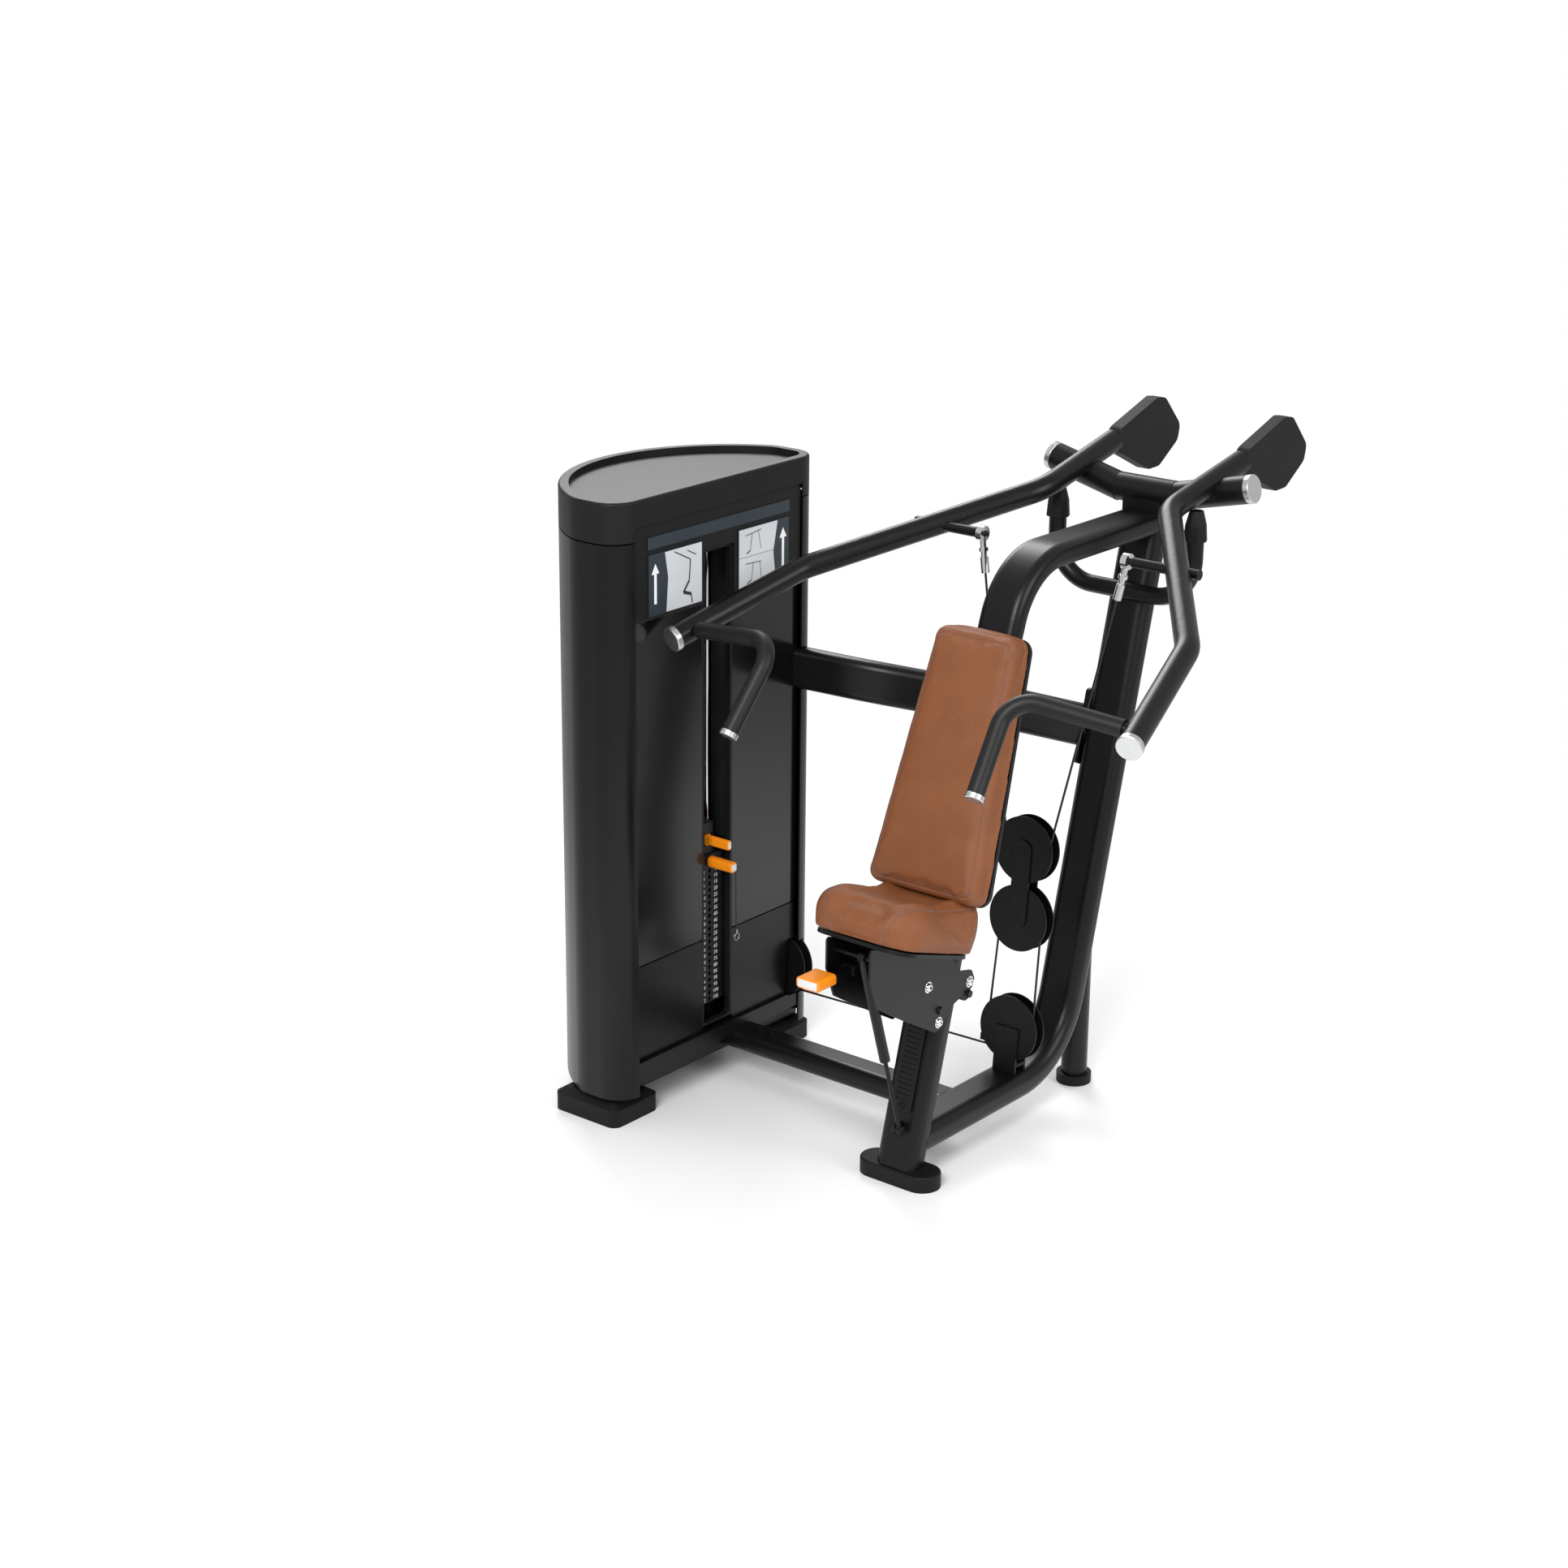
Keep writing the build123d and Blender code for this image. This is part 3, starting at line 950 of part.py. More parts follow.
with BuildPart() as post_rack:
    with BuildSketch(Plane(origin=(0, POST_Y0, 0), x_dir=(-1, 0, 0), z_dir=across).offset(MAIN_T / 2)):
        with Locations([(0, (RACK_LOW + RACK_HIGH) / 2)]):
            RectangleRounded(RACK_W, RACK_HIGH - RACK_LOW, 6)
        with Locations([(0, RACK_LOW + 22 + 24 * k) for k in range(HOLES)]):
            SlotOverall(22, 10, mode=Mode.SUBTRACT)
    extrude(amount=RACK_T)
    add(post_cover.part)
    add(gas_foot_stud.part)
write(post_rack.part, "post_fittings")
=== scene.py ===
"""Shoulder press machine: finishes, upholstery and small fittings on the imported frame."""
import json
import math

import bmesh
import bpy
from mathutils import Matrix, Vector
from mathutils.bvhtree import BVHTree

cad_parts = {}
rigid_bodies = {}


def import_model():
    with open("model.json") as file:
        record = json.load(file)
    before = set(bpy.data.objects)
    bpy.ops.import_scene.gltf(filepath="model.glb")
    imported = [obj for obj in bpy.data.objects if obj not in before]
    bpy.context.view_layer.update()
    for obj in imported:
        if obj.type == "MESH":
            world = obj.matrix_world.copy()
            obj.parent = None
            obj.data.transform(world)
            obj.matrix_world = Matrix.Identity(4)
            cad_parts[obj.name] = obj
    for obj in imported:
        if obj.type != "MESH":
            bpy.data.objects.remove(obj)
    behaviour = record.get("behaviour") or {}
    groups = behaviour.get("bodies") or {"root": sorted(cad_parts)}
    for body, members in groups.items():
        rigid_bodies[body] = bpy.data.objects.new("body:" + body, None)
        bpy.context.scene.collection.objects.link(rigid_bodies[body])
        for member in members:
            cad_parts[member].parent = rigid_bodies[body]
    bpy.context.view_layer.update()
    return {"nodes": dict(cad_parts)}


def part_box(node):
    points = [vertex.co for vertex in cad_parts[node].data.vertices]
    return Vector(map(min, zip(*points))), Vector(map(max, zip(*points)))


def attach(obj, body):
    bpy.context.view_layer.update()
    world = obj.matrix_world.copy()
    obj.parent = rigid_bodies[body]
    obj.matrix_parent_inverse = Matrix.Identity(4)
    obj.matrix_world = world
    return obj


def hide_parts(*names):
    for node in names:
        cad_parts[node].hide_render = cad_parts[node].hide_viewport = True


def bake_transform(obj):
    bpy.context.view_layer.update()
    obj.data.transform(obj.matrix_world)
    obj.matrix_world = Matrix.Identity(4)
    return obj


bl_info = {
    "name": "Shoulder press machine",
    "version": (1, 0, 0),
    "blender": (4, 5, 0),
    "location": "3D View > Sidebar > Machine",
    "description": "Builds the shoulder press machine on its packed frame",
    "category": "Object",
}

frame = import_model()
MM = 0.001


def linear(code):
    """An sRGB hex colour as linear red, green and blue."""
    values = [int(code[k:k + 2], 16) / 255 for k in (1, 3, 5)]
    return tuple(v / 12.92 if v <= 0.04045 else ((v + 0.055) / 1.055) ** 2.4 for v in values)


# ---- where things are, read from the frame or repeated from the part's own sizes ------------
PAD_LEAN, SEAT_TILT, POST_LEAN, CABLE_LEAN = (math.radians(a) for a in (19.3, 18.5, 15.5, 5.0))
BACK_FOOT = Vector((0, 65, 609)) * MM
BACK_UP = Vector((0, math.sin(PAD_LEAN), math.cos(PAD_LEAN)))
BACK_OUT = Vector((0, -math.cos(PAD_LEAN), math.sin(PAD_LEAN)))
SEAT_MIDDLE = Vector((0, -46.5, 536.5)) * MM
SEAT_BACK = Vector((0, math.cos(SEAT_TILT), -math.sin(SEAT_TILT)))
SEAT_UP = Vector((0, math.sin(SEAT_TILT), math.cos(SEAT_TILT)))
POST_UP = Vector((0, math.sin(POST_LEAN), math.cos(POST_LEAN)))
POST_OUT = Vector((0, -math.cos(POST_LEAN), math.sin(POST_LEAN)))
CABLE_UP = Vector((0, math.sin(CABLE_LEAN), math.cos(CABLE_LEAN)))
CABLE_OUT = Vector((0, -math.cos(CABLE_LEAN), math.sin(CABLE_LEAN)))
RIGHT = Vector((1, 0, 0))
TOWER_MIDDLE_Y, STACK_FACE_X = 0.128, -0.631


def cable_point(across, up, out=0.0):
    """A point given in the leaning plane of the cables, in millimetres."""
    return Vector((0, 377.5, 0)) * MM + (RIGHT * across + CABLE_UP * up + CABLE_OUT * out) * MM


# ---- materials ------------------------------------------------------------------------------


def shader(tree, kind, links=None, **settings):
    """Adds a node with its settings and input values or links."""
    node = tree.nodes.new(kind)
    for key, value in settings.items():
        setattr(node, key, value)
    for key, value in (links or {}).items():
        if isinstance(value, bpy.types.NodeSocket):
            tree.links.new(value, node.inputs[key])
        else:
            node.inputs[key].default_value = value
    return node


def blank(name):
    """A new material with an empty principled surface; returns it with its tree and shader."""
    made = bpy.data.materials.new(name)
    made.use_nodes = True
    tree = made.node_tree
    tree.nodes.clear()
    surface = shader(tree, "ShaderNodeBsdfPrincipled")
    out = shader(tree, "ShaderNodeOutputMaterial")
    tree.links.new(surface.outputs["BSDF"], out.inputs["Surface"])
    return made, tree, surface


def grained(name, colour, rough, grain_mm, height_mm, metallic=0.0, coat=0.0, spread=0.12,
            rough_spread=0.06, stretch=(1, 1, 1), round_mm=0.8, spec=0.3, anisotropic=0.0):
    """A surface with fine relief, slow changes of tone and roughness, and softened edges."""
    made, tree, surface = blank(name)
    place = shader(tree, "ShaderNodeTexCoord").outputs["Object"]
    scaled = shader(tree, "ShaderNodeMapping", {"Vector": place, "Scale": stretch}).outputs["Vector"]
    fine = shader(tree, "ShaderNodeTexNoise", {"Vector": scaled, "Scale": 1000 / grain_mm, "Detail": 2.0})
    broad = shader(tree, "ShaderNodeTexNoise", {"Vector": place, "Scale": 9.0, "Detail": 3.0})
    dark = tuple(c * (1 - spread) for c in colour)
    light = tuple(min(1, c * (1 + spread)) for c in colour)
    ramp = shader(tree, "ShaderNodeValToRGB", {"Fac": broad.outputs["Fac"]})
    ramp.color_ramp.elements[0].position = 0.3
    ramp.color_ramp.elements[0].color = (*dark, 1)
    ramp.color_ramp.elements[1].position = 0.7
    ramp.color_ramp.elements[1].color = (*light, 1)
    tree.links.new(ramp.outputs["Color"], surface.inputs["Base Color"])
    spots = shader(tree, "ShaderNodeMapRange", {
        "Value": fine.outputs["Fac"], "From Min": 0.3, "From Max": 0.7,
        "To Min": max(0.03, rough - rough_spread), "To Max": min(1.0, rough + rough_spread)})
    tree.links.new(spots.outputs["Result"], surface.inputs["Roughness"])
    surface.inputs["Metallic"].default_value = metallic
    surface.inputs["Coat Weight"].default_value = coat
    surface.inputs["Coat Roughness"].default_value = 0.12
    surface.inputs["Anisotropic"].default_value = anisotropic
    if not metallic:
        surface.inputs["Specular IOR Level"].default_value = spec
    bump_links = {"Height": fine.outputs["Fac"], "Distance": height_mm * MM, "Strength": 0.8}
    if round_mm:
        rounding = shader(tree, "ShaderNodeBevel", {"Radius": round_mm * MM}, samples=4)
        bump_links["Normal"] = rounding.outputs["Normal"]
    bump = shader(tree, "ShaderNodeBump", bump_links)
    tree.links.new(bump.outputs["Normal"], surface.inputs["Normal"])
    return made


def leather(name, colour):
    """Upholstery vinyl: pebbled grain about 2 mm across, slightly mottled, with painted shade darkening the
    grooves between pebbles, soft sheen on the crown.
    """
    made, tree, surface = blank(name)
    place = shader(tree, "ShaderNodeTexCoord").outputs["Object"]
    bend = shader(tree, "ShaderNodeTexNoise", {"Vector": place, "Scale": 260.0, "Detail": 3.0})
    shift = shader(tree, "ShaderNodeVectorMath", {0: bend.outputs["Color"], 1: (0.0022, 0.0022, 0.0022)},
                   operation="MULTIPLY")
    warped = shader(tree, "ShaderNodeVectorMath", {0: place, 1: shift.outputs["Vector"]}, operation="ADD")
    cells = shader(tree, "ShaderNodeTexVoronoi", {"Vector": warped.outputs["Vector"], "Scale": 480.0},
                   feature="DISTANCE_TO_EDGE")
    pebble = shader(tree, "ShaderNodeMapRange", {
        "Value": cells.outputs["Distance"], "From Min": 0.0, "From Max": 0.22})
    pores = shader(tree, "ShaderNodeTexNoise", {"Vector": place, "Scale": 900.0, "Detail": 2.0})
    broad = shader(tree, "ShaderNodeTexNoise", {"Vector": place, "Scale": 14.0, "Detail": 4.0})
    ramp = shader(tree, "ShaderNodeValToRGB", {"Fac": broad.outputs["Fac"]})
    ramp.color_ramp.elements[0].position = 0.25
    ramp.color_ramp.elements[0].color = (*(c * 0.9 for c in colour), 1)
    ramp.color_ramp.elements[1].position = 0.75
    ramp.color_ramp.elements[1].color = (*(min(1, c * 1.08) for c in colour), 1)
    # painted shade: the colour is darkened to 72 % in the grooves between the pebbles
    painted_groove_shade = shader(tree, "ShaderNodeValToRGB", {"Fac": pebble.outputs["Result"]})
    painted_groove_shade.color_ramp.elements[0].color = (0.72, 0.7, 0.68, 1)
    painted_groove_shade.color_ramp.elements[1].position = 0.35
    painted_groove_shade.color_ramp.elements[1].color = (1, 1, 1, 1)
    mottled_and_groove_shaded = shader(tree, "ShaderNodeMix", {6: ramp.outputs["Color"], 7: painted_groove_shade.outputs["Color"], 0: 1.0},
                    data_type="RGBA", blend_type="MULTIPLY")
    tree.links.new(mottled_and_groove_shaded.outputs[2], surface.inputs["Base Color"])
    sheen = shader(tree, "ShaderNodeMapRange", {
        "Value": pores.outputs["Fac"], "To Min": 0.42, "To Max": 0.58})
    tree.links.new(sheen.outputs["Result"], surface.inputs["Roughness"])
    surface.inputs["Specular IOR Level"].default_value = 0.3
    relief = shader(tree, "ShaderNodeBump", {
        "Height": pebble.outputs["Result"], "Distance": 0.00028, "Strength": 0.7})
    both = shader(tree, "ShaderNodeBump", {
        "Height": pores.outputs["Fac"], "Distance": 0.00008, "Strength": 0.5, "Normal": relief.outputs["Normal"]})
    tree.links.new(both.outputs["Normal"], surface.inputs["Normal"])
    return made


def chrome(name, colour, rough=0.07):
    """Hard chrome plating: near-mirror with faint polishing haze."""
    made, tree, surface = blank(name)
    place = shader(tree, "ShaderNodeTexCoord").outputs["Object"]
    haze = shader(tree, "ShaderNodeTexNoise", {"Vector": place, "Scale": 60.0, "Detail": 4.0})
    spread = shader(tree, "ShaderNodeMapRange", {
        "Value": haze.outputs["Fac"], "To Min": rough, "To Max": rough + 0.08})
    tree.links.new(spread.outputs["Result"], surface.inputs["Roughness"])
    surface.inputs["Base Color"].default_value = (*colour, 1)
    surface.inputs["Metallic"].default_value = 1.0
    return made


MATERIALS = {}


def make_materials(colours):
    """Every finish of the machine, made once."""
    MATERIALS.update({
        # powder coat sprayed on steel: fine orange peel, satin gloss
        "coat": grained("powder_coated_steel", colours.frame, 0.34, 1.6, 0.05, spec=0.3, spread=0.15),
        # smoother coat on rolled sheet: broader reflections
        "sheet": grained("coated_sheet_steel", colours.tower, 0.3, 2.4, 0.02, spec=0.28, spread=0.1,
                         rough_spread=0.03),
        # acrylic-faced panel: glossy with a faint haze
        "gloss": grained("acrylic_faced_panel", colours.tower, 0.16, 3.0, 0.01, coat=0.2, spec=0.35, spread=0.08,
                         rough_spread=0.02),
        # ABS with a spark-eroded mould texture: fine even grain
        "mould": grained("moulded_abs", colours.cap, 0.5, 1.1, 0.1, spec=0.28, spread=0.1),
        # glass-filled nylon: slightly shinier than the ABS
        "nylon": grained("moulded_nylon", colours.pulley, 0.38, 1.3, 0.06, spec=0.25, spread=0.12),
        # compression-moulded rubber: soft highlights
        "rubber": grained("moulded_rubber", colours.rubber, 0.58, 1.4, 0.12, spec=0.25, spread=0.18),
        # foam-rubber sleeve: matte with a soft sheen
        "grip": grained("rubber_sleeve", colours.grip, 0.48, 1.8, 0.08, spec=0.35, spread=0.12),
        # iron with a crinkled paint: coarse even relief
        "iron": grained("crinkle_painted_iron", colours.iron, 0.6, 3.2, 0.45, spec=0.3, spread=0.25),
        # flame-cut plates: flat black paint
        "plate": grained("painted_stack_plate", colours.iron, 0.48, 2.0, 0.08, spec=0.4, spread=0.2),
        # turned aluminium: fine rings of brushing
        "aluminium": grained("turned_aluminium", colours.aluminium, 0.3, 1.2, 0.05, metallic=1.0, spread=0.05,
                             anisotropic=0.3, round_mm=0.6),
        "chrome": chrome("hard_chrome", colours.chrome),
        "zinc": chrome("zinc_plated_steel", colours.zinc, 0.24),
        # injection-moulded polypropylene: saturated, soft highlights
        "orange": grained("moulded_orange_plastic", colours.orange, 0.34, 1.5, 0.04, spec=0.5, spread=0.05),
        "insert": grained("moulded_grey_plastic", colours.insert, 0.42, 1.5, 0.04, spec=0.45, spread=0.04),
        # nylon-coated wire rope: smooth black jacket
        "cable": grained("nylon_jacket", colours.rubber, 0.3, 0.9, 0.04, spec=0.5, spread=0.1, round_mm=0),
        "header": grained("printed_slate_film", colours.slate, 0.38, 2.0, 0.02, spec=0.45, spread=0.05),
        "card": grained("printed_light_film", colours.card, 0.38, 2.0, 0.02, spec=0.45, spread=0.04),
        "ink": grained("printed_dark_ink", colours.ink, 0.4, 2.0, 0.02, spec=0.4, spread=0.05),
        "white": grained("screen_printed_white", colours.white, 0.5, 1.5, 0.02, spec=0.4, spread=0.03),
        "panel": grained("galvanised_inner_panel", colours.panel, 0.45, 5.0, 0.05, spec=0.45, spread=0.15),
        "thread": grained("polyester_thread", colours.thread, 0.6, 0.6, 0.08, spec=0.3, spread=0.1, round_mm=0),
        "leather": leather("upholstery_vinyl", colours.leather),
    })


NODE_FINISH = {
    "coat": "main_frame_tube seat_post base_beam gooseneck_tube connecting_tube rear_leg pivot_crossbar stop_bar "
            "left_arm_tube right_arm_tube tower_frame seat_carriage gas_cylinder post_fittings",
    "sheet": "tower_shroud lower_panels",
    "gloss": "upper_panels",
    "mould": "tower_cap face_trim back_shell",
    "nylon": "bottom_pulley_housing block_frame tower_pulley_guard bottom_pulley tower_pulley top_pulley_front "
             "top_pulley_rear block_upper_pulley block_lower_pulley carriage_rollers gas_rod",
    "rubber": "frame_feet tower_feet stop_bumpers stack_bumpers",
    "grip": "left_grip right_grip",
    "iron": "left_counterweight right_counterweight",
    "plate": "weight_plates top_plate",
    "aluminium": "left_arm_caps right_arm_caps",
    "chrome": "guide_rods selector_rod left_rod_end right_rod_end",
    "orange": "selector_pin addon_lever release_lever",
    "cable": "drive_cable left_arm_cable right_arm_cable block_cables",
}

# ---- modelling helpers ----------------------------------------------------------------------


def nothing_selected():
    """Clears the selection, so that operators touch only the new piece."""
    if bpy.context.object and bpy.context.object.mode != "OBJECT":
        bpy.ops.object.mode_set(mode="OBJECT")
    for item in bpy.context.view_layer.objects:
        item.select_set(False)


def only(piece):
    """Makes one piece the selected and active one."""
    nothing_selected()
    piece.select_set(True)
    bpy.context.view_layer.objects.active = piece


def settle(piece):
    """Puts a piece's place into its mesh, so its object sits at the origin."""
    only(piece)
    bpy.ops.object.transform_apply(location=True, rotation=True, scale=True)
    return piece


def named(piece, name, finish, body=None):
    """Names a finished piece, and gives it a material and a body."""
    piece.name = name
    piece.data.name = name
    piece.data.materials.clear()
    piece.data.materials.append(MATERIALS[finish])
    if body:
        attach(piece, body)
    return piece


def turn_to(axis, roll_to=None):
    """Rotation that takes +Z to an axis, and +X near a second direction."""
    z = axis.normalized()
    x = (roll_to or (RIGHT if abs(z.x) < 0.9 else Vector((0, 1, 0))))
    x = (x - z * x.dot(z)).normalized()
    return Matrix((x, z.cross(x), z)).transposed().to_4x4()


def bevelled(piece, width, segments=2, angle=40):
    """Bevels sharp edges and applies the modifier."""
    only(piece)
    cut = piece.modifiers.new("edges", "BEVEL")
    cut.width = width
    cut.segments = segments
    cut.limit_method = "ANGLE"
    cut.angle_limit = math.radians(angle)
    bpy.ops.object.modifier_apply(modifier=cut.name)
    bpy.ops.object.shade_smooth_by_angle(angle=math.radians(35))
    return piece


def turned(profile, place, axis, steps=32, roll_to=None):
    """A lathe-turned piece: the profile of (radius, height) millimetre pairs spun round an axis."""
    mesh = bpy.data.meshes.new("turned")
    piece = bpy.data.objects.new("turned", mesh)
    bpy.context.scene.collection.objects.link(piece)
    edges = [(k, k + 1) for k in range(len(profile) - 1)]
    mesh.from_pydata([(r * MM, 0, h * MM) for r, h in profile], edges, [])
    only(piece)
    bpy.ops.object.mode_set(mode="EDIT")
    bpy.ops.mesh.select_all(action="SELECT")
    bpy.ops.mesh.spin(steps=steps, angle=2 * math.pi, center=(0, 0, 0), axis=(0, 0, 1))
    bpy.ops.mesh.select_all(action="SELECT")
    bpy.ops.mesh.remove_doubles(threshold=1e-6)
    bpy.ops.mesh.normals_make_consistent(inside=False)
    bpy.ops.object.mode_set(mode="OBJECT")
    piece.matrix_world = Matrix.Translation(place) @ turn_to(axis, roll_to)
    bpy.ops.object.shade_smooth_by_angle(angle=math.radians(35))
    return settle(piece)


def joined(pieces):
    """Joins pieces into one."""
    nothing_selected()
    for piece in pieces:
        piece.select_set(True)
    bpy.context.view_layer.objects.active = pieces[0]
    if len(pieces) > 1:
        bpy.ops.object.join()
    return bpy.context.view_layer.objects.active


def block(low, high, bevel=0.0, segments=2):
    """A cube scaled to two corners in millimetres and bevelled."""
    nothing_selected()
    a, b = Vector(low) * MM, Vector(high) * MM
    bpy.ops.mesh.primitive_cube_add(size=1, location=(a + b) / 2)
    piece = bpy.context.object
    piece.scale = b - a
    settle(piece)
    if bevel:
        bevelled(piece, bevel * MM, segments)
    return piece


def slab(outline, place, axis, across, thick, bevel=0.0):
    """A flat plate with a given outline of millimetre points, extruded along an axis."""
    mesh = bpy.data.meshes.new("slab")
    piece = bpy.data.objects.new("slab", mesh)
    bpy.context.scene.collection.objects.link(piece)
    mesh.from_pydata([(x * MM, y * MM, 0) for x, y in outline], [], [tuple(range(len(outline)))])
    only(piece)
    bpy.ops.object.mode_set(mode="EDIT")
    bpy.ops.mesh.select_all(action="SELECT")
    bpy.ops.mesh.extrude_region_move(TRANSFORM_OT_translate={"value": (0, 0, thick * MM)})
    bpy.ops.mesh.select_all(action="SELECT")
    bpy.ops.mesh.normals_make_consistent(inside=False)
    bpy.ops.object.mode_set(mode="OBJECT")
    piece.matrix_world = Matrix.Translation(place) @ turn_to(axis, across)
    settle(piece)
    if bevel:
        bevelled(piece, bevel * MM)
    return piece


def socket_bolt(place, axis, radius=9.0, height=5.0):
    """Button-head bolt with a hexagon socket, on a washer."""
    nothing_selected()
    bpy.ops.mesh.primitive_cylinder_add(vertices=6, radius=radius * 0.42 * MM, depth=height * MM)
    key = bpy.context.object
    key.matrix_world = Matrix.Translation(place + axis * height * 0.95 * MM) @ turn_to(axis)
    settle(key)
    dome = [(0, 0), (radius * 1.25, 0), (radius * 1.25, 0.9), (radius, 1.0), (radius, 1.8),
            (radius * 0.94, height * 0.62), (radius * 0.78, height * 0.88), (radius * 0.55, height), (0, height)]
    bolt = turned(dome, place, axis, steps=28)
    only(bolt)
    cut = bolt.modifiers.new("socket", "BOOLEAN")
    cut.object = key
    cut.operation = "DIFFERENCE"
    cut.solver = "EXACT"
    bpy.ops.object.modifier_apply(modifier=cut.name)
    bpy.data.objects.remove(key)
    bpy.ops.object.shade_smooth_by_angle(angle=math.radians(35))
    return bolt


# ---- upholstery -----------------------------------------------------------------------------


def inflated(node, pinned, swell):
    """Cushion from its CAD solid: remeshed, blown up as cloth with the pinned side held, then capped."""
    source = frame["nodes"][node]
    cushion = source.copy()
    cushion.data = source.data.copy()
    cushion.parent = None
    cushion.matrix_world = source.matrix_world.copy()
    for key in list(cushion.keys()):
        del cushion[key]
    bpy.context.scene.collection.objects.link(cushion)
    only(cushion)
    bpy.ops.object.mode_set(mode="EDIT")
    bpy.ops.mesh.select_all(action="SELECT")
    bpy.ops.mesh.remove_doubles(threshold=1e-5)
    bpy.ops.object.mode_set(mode="OBJECT")
    remesh = cushion.modifiers.new("skin", "REMESH")
    remesh.mode = "VOXEL"
    remesh.voxel_size = 0.0055
    bpy.ops.object.modifier_apply(modifier=remesh.name)
    smooth = cushion.modifiers.new("even", "SMOOTH")
    smooth.iterations = 6
    bpy.ops.object.modifier_apply(modifier=smooth.name)
    shrink = cushion.modifiers.new("smaller", "DISPLACE")
    shrink.strength = -swell / 3
    shrink.mid_level = 0.0
    bpy.ops.object.modifier_apply(modifier=shrink.name)
    group = cushion.vertex_groups.new(name="held")
    group.add([v.index for v in cushion.data.vertices if pinned(v.co)], 1.0, "REPLACE")
    rest = [v.co.copy() for v in cushion.data.vertices]
    cloth = cushion.modifiers.new("cloth", "CLOTH")
    cloth.settings.use_pressure = True
    cloth.settings.uniform_pressure_force = 4.0
    cloth.settings.vertex_group_mass = group.name
    cloth.settings.effector_weights.gravity = 0.0
    cloth.settings.quality = 5
    cloth.settings.tension_stiffness = 25
    cloth.settings.compression_stiffness = 25
    cloth.point_cache.frame_start = 1
    cloth.point_cache.frame_end = 20
    for step in range(1, 21):
        bpy.context.scene.frame_set(step)
    bpy.ops.object.modifier_apply(modifier=cloth.name)
    bpy.context.scene.frame_set(1)
    for vertex, start in zip(cushion.data.vertices, rest):
        move = vertex.co - start
        if move.length > swell:
            vertex.co = start + move.normalized() * swell
    cushion.vertex_groups.clear()
    smooth = cushion.modifiers.new("even", "SMOOTH")
    smooth.iterations = 3
    bpy.ops.object.modifier_apply(modifier=smooth.name)
    return cushion


def subdivided(piece):
    """One applied level of subdivision, shaded smooth."""
    only(piece)
    finer = piece.modifiers.new("finer", "SUBSURF")
    finer.levels = finer.render_levels = 1
    bpy.ops.object.modifier_apply(modifier=finer.name)
    bpy.ops.object.shade_smooth()


def outline_points(corners, radii, spacing):
    """Evenly spaced points, with outward normals, round a polygon with rounded corners (millimetres)."""
    count = len(corners)
    path = []
    for k, (corner, radius) in enumerate(zip(corners, radii)):
        here = Vector(corner)
        to_last = (Vector(corners[k - 1]) - here).normalized()
        to_next = (Vector(corners[(k + 1) % count]) - here).normalized()
        half = math.acos(max(-1, min(1, to_last.dot(to_next)))) / 2
        middle = here + (to_last + to_next).normalized() * radius / math.sin(half)
        first = here + to_last * radius / math.tan(half)
        last = here + to_next * radius / math.tan(half)
        a, b = (first - middle), (last - middle)
        sweep = math.atan2(a.x * b.y - a.y * b.x, a.dot(b))
        for step in range(13):
            angle = sweep * step / 12
            path.append(middle + Vector((a.x * math.cos(angle) - a.y * math.sin(angle),
                                         a.x * math.sin(angle) + a.y * math.cos(angle))))
    result = []
    carry = 0.0
    for k, start in enumerate(path):
        end = path[(k + 1) % len(path)]
        length = (end - start).length
        if length < 1e-9:
            continue
        direction = (end - start) / length
        while carry < length:
            result.append((start + direction * carry, direction, Vector((direction.y, -direction.x))))
            carry += spacing
        carry -= length
    return result


def smooth_step(share):
    """Eases a share from 0 to 1."""
    share = max(0.0, min(1.0, share))
    return share * share * (3 - 2 * share)


def smoothed(knots, spacing):
    """Evenly spaced points with headings along a smooth line through the knots."""
    fine = []
    for k in range(len(knots) - 1):
        a, b = knots[max(k - 1, 0)], knots[k]
        c, d = knots[k + 1], knots[min(k + 2, len(knots) - 1)]
        for step in range(20):
            t = step / 20
            square, cube = 2 * a - 5 * b + 4 * c - d, 3 * b - a - 3 * c + d
            fine.append(0.5 * (2 * b + (c - a) * t + square * t * t + cube * t ** 3))
    fine.append(knots[-1])
    result, carry = [], 0.0
    for start, end in zip(fine, fine[1:]):
        length = (end - start).length
        if length < 1e-9:
            continue
        while carry < length:
            result.append((start + (end - start) * carry / length, (end - start) / length))
            carry += spacing
        carry -= length
    return result


